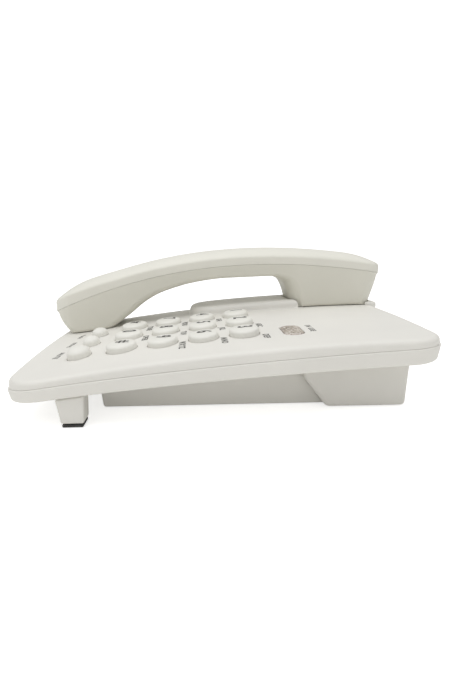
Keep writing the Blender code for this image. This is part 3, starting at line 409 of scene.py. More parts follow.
def join(name, objects):
    """One object from several, each with one material at most."""
    bm = bmesh.new()
    materials = []
    for obj in objects:
        first = len(bm.faces)
        bm.from_mesh(obj.data)
        bm.faces.ensure_lookup_table()
        finish = obj.data.materials[0] if obj.data.materials else None
        if finish not in materials:
            materials.append(finish)
        for face in bm.faces[first:]:
            face.material_index = materials.index(finish)
        bpy.data.objects.remove(obj)
    mesh = bpy.data.meshes.new(name)
    bm.to_mesh(mesh)
    bm.free()
    for finish in materials:
        mesh.materials.append(finish)
    return add_object(name, mesh)


def finish_piece(obj, body, material=None, nodes=(), angle=32):
    """Gives a piece its shading, material and body, and hides the CAD nodes that it stands for."""
    obj.data.shade_smooth()
    obj.data.set_sharp_from_angle(angle=math.radians(angle))
    if material:
        obj.data.materials.clear()
        obj.data.materials.append(material)
    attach(obj, body)
    if nodes:
        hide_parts(*nodes)
    return obj


# -------- materials

def feed(node, values):
    """Sets a node's own values by the names of its inputs."""
    for name, value in values.items():
        node.inputs[name].default_value = value


def new_material(name, roughness, metallic=0.0):
    made = bpy.data.materials.new(name)
    made.use_nodes = True
    shader = made.node_tree.nodes["Principled BSDF"]
    feed(shader, {"Roughness": roughness, "Metallic": metallic})
    return made, made.node_tree, shader


def noise(tree, scale, detail=2.0, stretch=None):
    """A noise texture in object space; stretch squeezes it along an axis."""
    place = tree.nodes.new("ShaderNodeTexCoord").outputs["Object"]
    if stretch:
        squeeze = tree.nodes.new("ShaderNodeMapping")
        feed(squeeze, {"Scale": stretch})
        tree.links.new(place, squeeze.inputs["Vector"])
        place = squeeze.outputs["Vector"]
    grain = tree.nodes.new("ShaderNodeTexNoise")
    feed(grain, {"Scale": scale, "Detail": detail})
    tree.links.new(place, grain.inputs["Vector"])
    return grain.outputs["Fac"]


def ramp(tree, value, stops):
    made = tree.nodes.new("ShaderNodeValToRGB")
    while len(made.color_ramp.elements) < len(stops):
        made.color_ramp.elements.new(0.5)
    for element, (place, colour) in zip(made.color_ramp.elements, stops):
        element.position = place
        element.color = (*colour, 1.0)
    tree.links.new(value, made.inputs["Fac"])
    return made.outputs["Color"]


def colour_by(tree, shader, value, stops):
    tree.links.new(ramp(tree, value, stops), shader.inputs["Base Color"])


def roughen(tree, shader, value, low, high):
    spread = tree.nodes.new("ShaderNodeMapRange")
    feed(spread, {"From Min": 0.3, "From Max": 0.7, "To Min": low, "To Max": high})
    tree.links.new(value, spread.inputs["Value"])
    tree.links.new(spread.outputs["Result"], shader.inputs["Roughness"])


def bump(tree, shader, value, strength, depth):
    raise_it = tree.nodes.new("ShaderNodeBump")
    feed(raise_it, {"Strength": strength, "Distance": depth})
    tree.links.new(value, raise_it.inputs["Height"])
    tree.links.new(raise_it.outputs["Normal"], shader.inputs["Normal"])


def shade(colour, by):
    return tuple(min(c * by, 1.0) for c in colour)


def moulded_plastic(name, colour, rough=(0.40, 0.50), grain=2200, depth=0.00003):
    """Satin moulded plastic: a fine spark-eroded grain and a faint drift of colour."""
    made, tree, shader = new_material(name, sum(rough) / 2)
    colour_by(tree, shader, noise(tree, 28, 3), [(0.3, shade(colour, 0.975)), (0.7, shade(colour, 1.015))])
    fine = noise(tree, grain, 1.5)
    roughen(tree, shader, fine, *rough)
    bump(tree, shader, fine, 0.35, depth)
    feed(shader, {"Specular IOR Level": 0.42})
    return made


def print_ink(name, colour):
    made, tree, shader = new_material(name, 0.55)
    colour_by(tree, shader, noise(tree, 900, 2), [(0.35, shade(colour, 0.8)), (0.75, shade(colour, 1.25))])
    return made


def soft_rubber(name, colour):
    made, tree, shader = new_material(name, 0.75)
    colour_by(tree, shader, noise(tree, 350, 4), [(0.35, shade(colour, 0.8)), (0.75, shade(colour, 1.5))])
    fine = noise(tree, 1500, 3)
    roughen(tree, shader, fine, 0.65, 0.85)
    bump(tree, shader, fine, 0.5, 0.00006)
    return made


def machined_metal(name, colour, rough, stretch=(1, 1, 12)):
    made, tree, shader = new_material(name, rough, 1.0)
    streak = noise(tree, 700, 3, stretch)
    colour_by(tree, shader, streak, [(0.3, shade(colour, 0.85)), (0.7, shade(colour, 1.1))])
    roughen(tree, shader, streak, rough - 0.08, rough + 0.1)
    bump(tree, shader, streak, 0.2, 0.00002)
    return made


def board_laminate(name):
    """Green solder mask with lighter tracks under it."""
    made, tree, shader = new_material(name, 0.4)
    place = tree.nodes.new("ShaderNodeTexCoord").outputs["Object"]
    tracks = tree.nodes.new("ShaderNodeTexBrick")
    feed(tracks, {"Scale": 160, "Mortar Size": 0.03, "Color1": (0.02, 0.14, 0.05, 1),
                  "Color2": (0.025, 0.17, 0.06, 1), "Mortar": (0.06, 0.30, 0.12, 1)})
    tree.links.new(place, tracks.inputs["Vector"])
    tree.links.new(tracks.outputs["Color"], shader.inputs["Base Color"])
    roughen(tree, shader, noise(tree, 300), 0.3, 0.5)
    bump(tree, shader, tracks.outputs["Fac"], 0.3, 0.00004)
    return made


def tinted_window(name):
    """A smoky pink window moulded with small facets on its inner face, each facet's colour painted lighter
    or darker for the light it catches.
    """
    made, tree, shader = new_material(name, 0.22)
    place = tree.nodes.new("ShaderNodeTexCoord").outputs["Object"]
    cells = tree.nodes.new("ShaderNodeTexVoronoi")
    feed(cells, {"Scale": 430})
    drawn = tree.nodes.new("ShaderNodeMapping")
    feed(drawn, {"Scale": (1.0, 2.4, 1.0)})
    tree.links.new(place, drawn.inputs["Vector"])
    tree.links.new(drawn.outputs["Vector"], cells.inputs["Vector"])
    split = tree.nodes.new("ShaderNodeSeparateColor")
    tree.links.new(cells.outputs["Color"], split.inputs["Color"])
    # Painted light and shade: each facet's colour runs from dark to light, standing in for how the facets
    # catch the light
    colour_by(tree, shader, split.outputs["Red"], [
        (0.0, (0.29, 0.23, 0.195)), (0.5, (0.48, 0.405, 0.36)), (1.0, (0.72, 0.65, 0.60))])
    bump(tree, shader, cells.outputs["Distance"], 0.5, 0.0004)
    feed(shader, {"Coat Weight": 0.8, "Coat Roughness": 0.08})
    return made


CASE = moulded_plastic("case_plastic", (0.80, 0.785, 0.74))
HANDSET = moulded_plastic("handset_plastic", (0.79, 0.777, 0.705))
# A darker, warmer copy of the handset plastic for the inner cover: painted shade for the cover's
# downward-facing side below the seam
INNER_PAINTED_SHADE = moulded_plastic("handset_inner_plastic_painted_shade", (0.735, 0.722, 0.645))
KEYS = moulded_plastic("key_plastic", (0.83, 0.82, 0.77), (0.34, 0.44), 2600, 0.00002)
INK = print_ink("dark_print", (0.035, 0.035, 0.03))
RUBBER = soft_rubber("black_rubber", (0.04, 0.04, 0.038))
MAT = soft_rubber("keypad_rubber", (0.46, 0.46, 0.44))
DARK = moulded_plastic("dark_plastic", (0.055, 0.055, 0.06), (0.38, 0.52), 1800)
STEEL = machined_metal("steel", (0.55, 0.55, 0.56), 0.36)
BRASS = machined_metal("brass", (0.72, 0.55, 0.25), 0.38, (1, 1, 1))
GOLD = machined_metal("gold_contact", (0.9, 0.68, 0.3), 0.25, (1, 12, 1))
BOARD = board_laminate("circuit_board")
WINDOW = tinted_window("tinted_window")
LAMP = moulded_plastic("lamp", (0.75, 0.22, 0.13), (0.12, 0.2), 600, 0.00001)
SLOT_MATERIALS = {
    "case_plastic": CASE, "handset_plastic": HANDSET, "key_plastic": KEYS, "lens": WINDOW, "lamp": LAMP,
    "black_rubber": RUBBER, "keypad_rubber": MAT, "circuit_board": BOARD, "dark_plastic": DARK,
    "steel": STEEL, "brass": BRASS}


# -------- the deck that the keys sit in

DECK_SLOPE = math.atan(CASE_TOP_SHAPE[1] - 2 * CASE_TOP_SHAPE[2] * DECK_Y)
DECK = Matrix.Translation((0, DECK_Y, case_top(0, DECK_Y))) @ Matrix.Rotation(DECK_SLOPE, 4, "X")


def deck_frame(x, y):
    """The deck's frame, moved over plan place (x, y)."""
    return DECK @ Matrix.Translation((x, (y - DECK_Y) / math.cos(DECK_SLOPE), 0))


def surface_frame(x, y):
    """A frame that lies on the case's top at (x, y)."""
    step = 0.1 * MM
    tilt_y = math.atan((case_top(x, y + step) - case_top(x, y - step)) / (2 * step))
    tilt_x = math.atan((case_top(x + step, y) - case_top(x - step, y)) / (2 * step))
    return (Matrix.Translation((x, y, case_top(x, y))) @ Matrix.Rotation(tilt_y, 4, "X")
            @ Matrix.Rotation(-tilt_x, 4, "Y"))


def key_places():
    """Every key as (node, what is printed on it, x, y, radius, aspect)."""
    marks = ["1", "2", "3", "4", "5", "6", "7", "8", "9", "*", "0", "#"]
    nodes = ["key_" + {"*": "star", "#": "hash"}.get(mark, mark) for mark in marks]
    for k, (node, mark) in enumerate(zip(nodes, marks)):
        yield node, mark, KEY_COLUMNS[k % 3], KEY_ROWS[k // 3], KEY_RADIUS, KEY_ASPECT
    function_keys = zip(["key_flash", "key_redial", "key_mute"], FUNCTION_COLUMNS, FUNCTION_RADII)
    for node, x, radius in function_keys:
        y = FUNCTION_Y + (FUNCTION_RADII[-1] - radius) * FUNCTION_ASPECT
        yield node, "", x, y, radius, FUNCTION_ASPECT


def key_crown(share):
    """A dialling key's height at a share of the way to its shoulder."""
    return (KEY_HEIGHT - KEY_CROWN * share ** 2.2) * MM


def key_profile(radius):
    """A gently crowned dialling key or a domed function key, with an upright side and a flange."""
    if radius == KEY_RADIUS:
        rim, low, flange, thick, flat = 1.0, -3.5, 10.9, 0.8, radius - KEY_SHOULDER
        drop = KEY_HEIGHT - KEY_CROWN - rim
        top = [(flat * k / 10, key_crown(k / 10)) for k in range(10)]
        top += [(flat + KEY_SHOULDER * math.sin(a), (rim + drop * math.cos(a)) * MM)
                for a in (math.pi / 16 * k for k in range(8))]
    else:
        rim, low, flange, thick = 0.2, -4.2, radius / MM + 1, 0.6
        top = [(radius * math.sin(a) ** 0.94, (rim + FUNCTION_KEY_DOME * math.cos(a) ** 0.94) * MM)
               for a in (math.pi / 36 * k for k in range(18))]
    return top + [(radius, rim * MM), (radius, low * MM), (flange * MM, low * MM),
                  (flange * MM, (low - thick) * MM), (0, (low - thick) * MM)]


LONGEST_LETTER_EDGE = 0.6 * MM


def middle_of(verts):
    across, along = ([v.co[axis] for v in verts] for axis in (0, 1))
    return (min(across) + max(across)) / 2, (min(along) + max(along)) / 2


def turn_first_letter(bm):
    """Turns the leftmost letter upside down in its own place."""
    letter = {min(bm.verts, key=lambda v: v.co.x)}
    fresh = set(letter)
    while fresh:
        fresh = {edge.other_vert(v) for v in fresh for edge in v.link_edges} - letter
        letter |= fresh
    x, y = middle_of(letter)
    for v in letter:
        v.co.x, v.co.y = 2 * x - v.co.x, 2 * y - v.co.y


def print_text(text, size, spacing, weight):
    """Flat lettering about the origin, in triangles small enough to follow a curved surface.

    The font's own M fills in as soon as it is made bolder, so a leading M is a W turned over."""
    curve = bpy.data.curves.new("lettering", "FONT")
    curve.body = text.replace("M", "W")
    curve.size = size
    curve.space_character = spacing
    curve.offset = weight * size
    curve.resolution_u = 4
    curve.align_x = "CENTER"
    curve.align_y = "CENTER"
    source = add_object("lettering", curve)
    bpy.context.view_layer.update()
    graph = bpy.context.evaluated_depsgraph_get()
    mesh = bpy.data.meshes.new_from_object(source.evaluated_get(graph))
    bpy.data.objects.remove(source)
    bm = bmesh.new()
    bm.from_mesh(mesh)
    bmesh.ops.remove_doubles(bm, verts=bm.verts, dist=1e-6)
    if text.startswith("M"):
        turn_first_letter(bm)
    for _ in range(5):
        bmesh.ops.triangulate(bm, faces=bm.faces)
        long_edges = [edge for edge in bm.edges if edge.calc_length() > LONGEST_LETTER_EDGE]
        bmesh.ops.subdivide_edges(bm, edges=long_edges, cuts=1)
    bmesh.ops.triangulate(bm, faces=bm.faces)
    bm.to_mesh(mesh)
    bm.free()
    x, y = middle_of(mesh.vertices)
    mesh.transform(Matrix.Translation((-x, -y, 0)))
    mesh.materials.clear()
    mesh.materials.append(INK)
    return add_object("lettering", mesh)


def on_key(u, v):
    return key_crown(math.hypot(u, v / KEY_ASPECT) / (KEY_RADIUS - KEY_SHOULDER))


def lay_on(obj, surface, lift=0.03 * MM):
    """Presses flat lettering onto a surface."""
    for v in obj.data.vertices:
        v.co.z = surface(v.co.x, v.co.y) + lift
    return obj


def make_keys():
    for node, mark, x, y, radius, aspect in key_places():
        cap = turned(node + "_cap", key_profile(radius), 72, aspect)
        cap.data.materials.append(KEYS)
        pieces = [cap]
        if mark:
            size = {"*": 14 * MM, "#": 9.2 * MM}.get(mark, 10.4 * MM)
            label = print_text(mark, size, 1.0, 0.02)
            label.data.transform(Matrix.Translation((0, 0.7 * MM, 0)))
            pieces.append(lay_on(label, on_key, 0.05 * MM))
        made = join(node + "_button", pieces)
        made.data.transform(deck_frame(x, y))
        finish_piece(made, node, nodes=[node])


def key_hole_cutters():
    """For every key, a hole square to the deck and a cone that eases the hole's rim."""
    holes = []
    for _, _, x, y, radius, aspect in key_places():
        across = radius + HOLE_CLEARANCE
        narrow = (radius * aspect + HOLE_CLEARANCE) / across
        shaft = [(0, 6 * MM), (across, 6 * MM), (across, -9 * MM), (0, -9 * MM)]
        cone = [(0, 0.6 * MM), (across + 0.7 * MM, 0.6 * MM), (across - 0.1 * MM, -0.3 * MM),
                (0, -0.3 * MM)]
        holes.append(turned("hole", shaft, 72, narrow, deck_frame(x, y)))
        holes.append(turned("hole rim", cone, 72, narrow, surface_frame(x, y)))
    return holes


def make_case_lettering():
    letters = {"2": "ABC", "3": "DEF", "4": "GHI", "5": "JKL", "6": "MNO", "7": "PQRS", "8": "TUV",
               "9": "WXYZ", "*": "TONE", "0": "OPER"}
    words = [("FLASH", 3.1, -16.3, -85.4), ("REDIAL", 3.1, 7.2, -85.6), ("MUTE", 3.8, 30.5, -86.4)]
    labels = []
    for _, mark, x, y, _, _ in key_places():
        if mark in letters:
            label = print_text(letters[mark], 4.2 * MM, 1.25, 0.04)
            label.data.transform(Matrix.Translation((x + 9.0 * MM, y + 10.0 * MM, 0)))
            labels.append(label)
    for text, size, x, y in words:
        label = print_text(text, size * MM, 1.2, 0.035)
        label.data.transform(Matrix.Translation((x * MM, y * MM, 0)) @ Matrix.Rotation(-0.12, 4, "Z"))
        labels.append(label)
    label = print_text("IN USE", 3.8 * MM, 1.4, 0.04)
    label.data.transform(Matrix.Translation((37.6 * MM, 42.0 * MM, 0)))
    labels.append(label)
    finish_piece(lay_on(join("case_lettering", labels), case_top), "base")


# -------- case

def finish_case_piece(obj, node):
    finish_piece(obj, "base", CASE, [node])


def case_outline(fine=True):
    stations = np.arange(-82, 79, 3.5 if fine else 14) * MM
    return Outline(0, CASE_HALF_WIDTH, CASE_FRONT, CASE_BACK, CASE_CORNER, CASE_BOW, stations,
                   36 if fine else 8, 10 if fine else 4)


def top_fillet(x, y):
    return min(TOP_FILLET, 0.62 * (case_top(x, y) - parting(x, y)))


def window_outline():
    (x, y), (half_x, half_y) = LENS_CENTRE, LENS_HALF
    return Outline(x, half_x, y - half_y, y + half_y, 4.9 * MM, across=8, arc=8)


def make_case_top():
    shoulder = lambda x, y: case_top(x, y) - top_fillet(x, y)
    top = stacked_body("case_top_shell", case_outline(), [
        (LEDGE + 0.1 * MM, shifted(parting, 0.04 * MM)),
        (LEDGE, shifted(parting, 0.14 * MM)),
        (LEDGE + 0.2 * MM, shoulder)] + rounded_up(LEDGE + 0.2 * MM, 2.5 * MM, top_fillet, shoulder))
    cavity = stacked_body("cavity", case_outline(False), [
        (LEDGE + WALL, shifted(parting, -1 * MM)),
        (LEDGE + WALL, lambda x, y: case_top(x, y) - WALL - 0.8 * top_fillet(x, y)),
        (LEDGE + WALL + 2 * MM, shifted(case_top, -WALL))])
    window = stacked_body("window", window_outline(), levels(
        case_top, (0, -6), (0, -0.2), (-0.3, 0.1), (-0.3, 6)))
    button_hole = rod("hole", (HANDSET_X, HOOK_Y, 0.030), (HANDSET_X, HOOK_Y, 0.045),
                      HOOK_RADIUS + HOLE_CLEARANCE, 48)
    carve(top, ("UNION", [make_hump(), make_rear_lip()]), ("DIFFERENCE", [cavity, make_hump_hollow()]),
          ("DIFFERENCE", [window, button_hole]), ("DIFFERENCE", key_hole_cutters()))
    finish_case_piece(top, "upper_case")


def ear_clearance(drop):
    """The room that the earpiece's housing takes, from this far under the case's top."""
    room = Outline(HANDSET_X, HANDSET_HALF_WIDTH + 0.7 * MM, 44.2 * MM, 99.5 * MM, HOUSING_CORNER,
                   stations=np.arange(56, 90, 6) * MM, across=8, arc=8)
    return stacked_body("room", room, [(0, shifted(case_top, -drop)), (0, shifted(case_top, 20 * MM))])


def make_hump():
    """The raised bed under the handset's grip, with a small fillet round its foot."""
    outline = Outline(HUMP_X, 20.5 * MM, -20 * MM, 62 * MM, 15 * MM, 0, np.arange(-4, 47, 3) * MM, 12, 10)
    foot = 1.5 * MM
    wall_top = shifted(case_top, foot)
    fillet = levels(case_top, (-0.5, -1.2), (-0.5, 0.05), (-0.2, 0.3), (-0.05, 0.7)) + [(0, wall_top)]
    hump = stacked_body("hump", outline, fillet
                        + rounded_up(0, 3.4 * MM, lambda x, y: HUMP_HEIGHT - foot, wall_top))
    return carve(hump, ("DIFFERENCE", [ear_clearance(8 * MM)]))


def make_hump_hollow():
    inside = Outline(HUMP_X, 18.0 * MM, -17.5 * MM, 41 * MM, 7 * MM, 0, [12 * MM], 4, 3)
    return stacked_body("hollow", inside, levels(case_top, (0, -5), (0, 1.2)) + [
        (1.5 * MM, shifted(case_top, HUMP_HEIGHT - WALL))])


def make_rear_lip():
    rim = Outline(HANDSET_X, 22.5 * MM, 94 * MM, 102 * MM, 3.8 * MM, stations=[98 * MM], across=14, arc=8)
    roll = 1.2 * MM
    wall_top = shifted(case_top, LIP_HEIGHT - roll)
    lip = stacked_body("lip", rim, levels(parting, (1.5, 0.5), (0.4, 1.2), (0, 2)) + [(0, wall_top)]
                       + rounded_up(0, 1.1 * MM, lambda x, y: roll, wall_top, 5))
    return carve(lip, ("DIFFERENCE", [ear_clearance(0.5 * MM)]))


def switch_height(x):
    return parting(x, CASE_BACK) - 2.5 * MM


def make_case_bottom():
    edge = rounded_down(0.8 * MM, 2.2 * MM, 1.9 * MM, case_bottom)
    bottom = stacked_body("case_bottom_shell", case_outline(), edge + levels(
        parting, (0, -1.2), (0, -0.6), (0.12, -0.3), (0.35, -0.12), (0.6, -0.06)))
    wedge = prism("wedge", [
        (WEDGE_FRONT - 2.5 * MM, 0.0185), (WEDGE_FRONT, WEDGE_BOTTOM), (WEDGE_STEP_Y, WEDGE_BOTTOM),
        (WEDGE_STEP_Y, STEPPED_BOTTOM), (WEDGE_BACK, STEPPED_BOTTOM), (WEDGE_BACK, 0.030),
        (10 * MM, 0.0245)],
        WEDGE_HALF_WIDTH, 1.2 * MM, 5)
    cavity = stacked_body("cavity", case_outline(False), [
        (WALL + 3.2 * MM, shifted(case_bottom, WALL)),
        (WALL + 1.2 * MM, shifted(case_bottom, WALL + 1.6 * MM)), (WALL, shifted(parting, 1 * MM))])
    inner = WEDGE_HALF_WIDTH - WALL
    rooms = [box("room", (-inner, WEDGE_FRONT + WALL, WEDGE_BOTTOM + WALL),
                 (inner, WEDGE_STEP_Y - WALL, 0.0245)),
             box("room", (-inner, WEDGE_STEP_Y - WALL - 5 * MM, STEPPED_BOTTOM + WALL),
                 (inner, WEDGE_BACK - WALL, 0.0305))]
    posts = [rod("post", (x, y, case_bottom(x, y) + 1 * MM), (x, y, case_bottom(x, y) + 5 * MM), 4 * MM)
             for x, y in SCREW_PLACES]
    carve(bottom, ("UNION", [wedge]), ("DIFFERENCE", [cavity] + rooms), ("UNION", posts),
          ("DIFFERENCE", case_bottom_holes()))
    finish_case_piece(bottom, "lower_case")


def case_bottom_holes():
    """The screws' recesses, the legs' holes, the ringer's slots, and the sockets' and switches' mouths."""
    holes = []
    for x, y in SCREW_PLACES:
        floor = case_bottom(x, y)
        holes.append(rod("recess", (x, y, floor - 2 * MM), (x, y, floor + 2.7 * MM), SCREW_HEAD + GAP))
        holes.append(rod("shaft", (x, y, floor + 1 * MM), (x, y, floor + 7 * MM), SCREW_SHAFT + GAP))
    for side in (-1, 1):
        holes.append(rod("leg hole", (side * LEG_X, LEG_Y, 0.010), (side * LEG_X, LEG_Y, 0.020), 2.3 * MM))
    for k in range(5):
        y = (-30 + 5 * k) * MM
        holes.append(box("slot", (-11 * MM, y, -2 * MM), (11 * MM, y + 2 * MM, 5 * MM), 0.9 * MM))
    width, height = LINE_SOCKET
    holes.append(box("line mouth", (-width / 2 - SOCKET_RIM, WEDGE_BACK - 4 * MM,
                                    LINE_SOCKET_Z - height / 2 - SOCKET_RIM),
                     (width / 2 + SOCKET_RIM, WEDGE_BACK + 2 * MM,
                      LINE_SOCKET_Z + height / 2 + SOCKET_RIM)))
    width, height = CORD_SOCKET
    (front, back), (low, high) = CORD_MOUTH_Y, CORD_MOUTH_Z
    holes.append(box("cord mouth", (-WEDGE_HALF_WIDTH - 2 * MM, front - width / 2, low - height / 2),
                     (-WEDGE_HALF_WIDTH + 4 * MM, back + width / 2, high + height / 2)))
    for x in (RINGER_SWITCH_X, DIAL_SWITCH_X):
        z = switch_height(x)
        holes.append(box("slot", (x - 5 * MM, CASE_BACK - 8 * MM, z - 1.7 * MM),
                         (x + 5 * MM, CASE_BACK + 6 * MM, z + 1.7 * MM), 0.3 * MM))
    return holes


def make_stand():
    clear = 0.4 * MM
    stand = prism("stand_shell", [
        (STAND_FRONT, WEDGE_BOTTOM), (STAND_BACK, WEDGE_BOTTOM), (STAND_BACK + 1.5 * MM, 0.0262),
        (60 * MM, 0.0247), (35.5 * MM, 0.0231), (36.5 * MM, 0.0150)],
        STAND_HALF_WIDTH, 2 * MM, 7)
    snug, roomy = WEDGE_HALF_WIDTH + clear, STAND_HALF_WIDTH - STAND_WALL
    floor = WEDGE_BOTTOM + STAND_FLOOR
    width, height = LINE_SOCKET
    cuts = [box("mouth", (-snug, 20 * MM, floor), (snug, 60 * MM, 0.040)),
            box("way", (-snug, 20 * MM, -1 * MM), (snug, WEDGE_STEP_Y + clear, 0.040)),
            box("room", (-roomy, WEDGE_STEP_Y + 3 * MM, floor), (roomy, WEDGE_BACK + clear, 0.040)),
            box("window", (-width / 2 - 3 * MM, WEDGE_BACK - 2 * MM, 11 * MM - height / 2),
                (width / 2 + 3 * MM, STAND_BACK + 4 * MM, 17 * MM + height / 2), 1.2 * MM)]
    for side in (-1, 1):
        x, pad_x = side * KEYHOLE_X, side * PAD_X
        cuts.append(rod("keyhole", (x, 56 * MM, -1 * MM), (x, 56 * MM, 5 * MM), 4.5 * MM, 40))
        cuts.append(box("slot", (x - 2.5 * MM, 56 * MM, -1 * MM), (x + 2.5 * MM, 69 * MM, 5 * MM)))
        cuts.append(box("pad recess", (pad_x - 6.3 * MM, 74.7 * MM, -1 * MM),
                        (pad_x + 6.3 * MM, 81.3 * MM, 1.5 * MM)))
    carve(stand, ("DIFFERENCE", cuts))
    finish_case_piece(stand, "rear_stand")


def make_legs():
    """Each leg tapers downwards, meets the case's bottom and has a peg that goes into it."""
    for side, word in ((1, "right"), (-1, "left")):
        x, half = side * LEG_X, LEG_SIZE / 2
        bm = bmesh.new()
        bmesh.ops.create_cube(bm, size=1.0)
        for corner in bm.verts:
            up, back = corner.co.z > 0, corner.co.y > 0
            lean = (0.4 if back else -1.2) * MM * up + 0.9 * MM * (not up and not back)
            y = LEG_Y + (half if back else -half) + lean
            corner.co = (x + 2 * half * corner.co.x, y, TIP_HEIGHT + GAP)
            if up:
                corner.co.z = case_bottom(corner.co.x, y) - GAP
        round_edges(bm, list(bm.edges), 1.0 * MM, 5)
        leg = add_object(f"front_foot_{word}", mesh_from(bm, "foot"))
        carve(leg, ("UNION", [rod("peg", (x, LEG_Y, 0.010), (x, LEG_Y, 0.0195), 2.0 * MM)]))
        finish_case_piece(leg, "front_leg_" + word)


def make_window():
    ledge = shifted(case_top, -WALL - GAP)
    window = stacked_body("indicator_window", window_outline(), [
        (-1.3 * MM, shifted(case_top, -WALL - 1.4 * MM)), (-1.3 * MM, ledge), (GAP, ledge),
        (GAP, shifted(case_top, -0.15 * MM))] + levels(case_top, (0.45, 0.08), (0.8, 0.2), (1.4, 0.25)))
    finish_piece(window, "base", WINDOW, ["indicator_lens"])


def make_screws():
    head_edge = [(SCREW_HEAD - 0.9 * MM * (1 - math.cos(a)), -0.8 * MM - 0.9 * MM * math.sin(a))
                 for a in (math.pi / 12 * k for k in range(7))]
    profile = ([(0, 6.3 * MM), (SCREW_SHAFT, 6.3 * MM), (SCREW_SHAFT, 0), (SCREW_HEAD, 0)] + head_edge
               + [(0, -1.7 * MM)])
    for number, (x, y) in enumerate(SCREW_PLACES, start=1):
        z = case_bottom(x, y) + 2.4 * MM
        screw = turned(f"case_fastener_{number}", profile, 40, place=Matrix.Translation((x, y, z)))
        cross = [box("cross", (x - a * MM, y - b * MM, z - 3 * MM), (x + a * MM, y + b * MM, z - 0.8 * MM))
                 for a, b in ((1.5, 0.3), (0.3, 1.5))]
        carve(screw, ("DIFFERENCE", cross))
        finish_piece(screw, "base", STEEL, [f"case_screw_{number}"])


def make_slide_knobs():
    """A ribbed knob in each switch's slot; at rest the dial switch's stands to one side."""
    switches = (("ringer_switch", RINGER_SWITCH_X, 0), ("dial_switch", DIAL_SWITCH_X, 2 * MM))
    for name, x, shift in switches:
        z = switch_height(x)
        wall = CASE_BACK + CASE_BOW * (1 - (x / CASE_HALF_WIDTH) ** 2)
        inner = wall - WALL - 1.6 * MM + GAP
        x += shift
        knob = box(name + "_slider", (x - 2.4 * MM, inner, z - 1.3 * MM),
                   (x + 2.4 * MM, wall + 1.3 * MM, z + 1.3 * MM), 0.3 * MM)
        grooves = [box("groove", (x + (k - 0.2) * MM, wall + 0.8 * MM, z - 2 * MM),
                       (x + (k + 0.2) * MM, wall + 2 * MM, z + 2 * MM))
                   for k in (-1.5, -0.75, 0, 0.75, 1.5)]
        carve(knob, ("DIFFERENCE", grooves))
        finish_piece(knob, name + "_knob", DARK, [name + "_knob"])


def make_hook_button():
    """A domed button under the earpiece, with a flange and a tip that rests on the lever."""
    rim, tip = case_top(HANDSET_X, HOOK_Y) - 1.2 * MM, LEVER_Z + 1.2 * MM
    flange_top, flange_bottom = tip + 1.5 * MM, tip + 0.8 * MM
    top = [(HOOK_RADIUS * math.sin(a) ** 0.75, rim + 1.3 * MM * math.cos(a) ** 0.75)
           for a in (math.pi / 24 * k for k in range(12))]
    profile = top + [(HOOK_RADIUS, rim), (HOOK_RADIUS, flange_top), (5.2 * MM, flange_top),
                     (5.2 * MM, flange_bottom), (1.5 * MM, flange_bottom), (1.5 * MM, tip), (0, tip)]
    button = turned("hook_button", profile, 56, place=Matrix.Translation((HANDSET_X, HOOK_Y, 0)))
    finish_piece(button, "hook_plunger", KEYS, ["hook_plunger"])


def make_contacts():
    """Sprung gold wires slanting into each socket."""
    line = [((k - 2.5) * 1.02 * MM, 82.6 * MM, 17.0 * MM) for k in range(6)]
    base_cord = [(-45.2 * MM, (-36 + (k - 1.5) * CONTACT_PITCH) * MM, 12.3 * MM) for k in range(4)]
    handset_cord = [((-52 + (k - 1.5) * CONTACT_PITCH) * MM, -96.9 * MM, 33.3 * MM) for k in range(4)]
    for name, body, starts, run in (("line_contacts", "base", line, (0, -9, -3.2)),
                                    ("base_cord_contacts", "base", base_cord, (8, 0, -3.0)),
                                    ("handset_cord_contacts", "handset", handset_cord, (0, 7.5, -3.0))):
        wires = [rod("wire", start, Vector(start) + Vector(run) * MM, 0.2 * MM, 12) for start in starts]
        finish_piece(join(name, wires), body, GOLD)


# -------- handset

def handset_outline(stations, across=24, arc=10):
    return Outline(HANDSET_X, HANDSET_HALF_WIDTH, HANDSET_FRONT, HANDSET_BACK, HANDSET_CORNER, 0,
                   stations, across, arc)


def make_handset_back():
    insets = [0, 0.08, 0.3, 0.7, 1.2, 1.9, 2.8, 3.9, 5.2, 6.7, 8.4, 10.2]
    back = stacked_body("handset_back_cover", handset_outline(np.arange(-91, 92, 2.8) * MM), levels(
        handset_seam, (0.1, 0.06), (0, 0.2)) + [(d * MM, handset_crown) for d in insets])
    coarse = handset_outline(np.arange(-88, 92, 16) * MM, 4, 3)
    hollow = stacked_body("hollow", coarse, [
        (HANDSET_WALL, shifted(handset_seam, -1 * MM)), (HANDSET_WALL, shifted(handset_seam, 2.2 * MM))]
        + levels(handset_crown, (4.5, -2.6), (9, -2.3)))
    carve(back, ("DIFFERENCE", [hollow]))
    finish_piece(back, "handset", HANDSET, ["handset_outer_shell"])


def handset_under_inside(x, y):
    """The underside raised by the wall's thickness, measured square to the surface."""
    highest = handset_under(x, y) + HANDSET_WALL
    for share in (0.45, 0.8, 0.97):
        reach, rise = HANDSET_WALL * share, HANDSET_WALL * math.sqrt(1 - share * share)
        for k in range(8):
            turn = math.tau * k / 8
            near = handset_under(x + reach * math.cos(turn), y + reach * math.sin(turn))
            highest = max(highest, near + rise)
    return highest


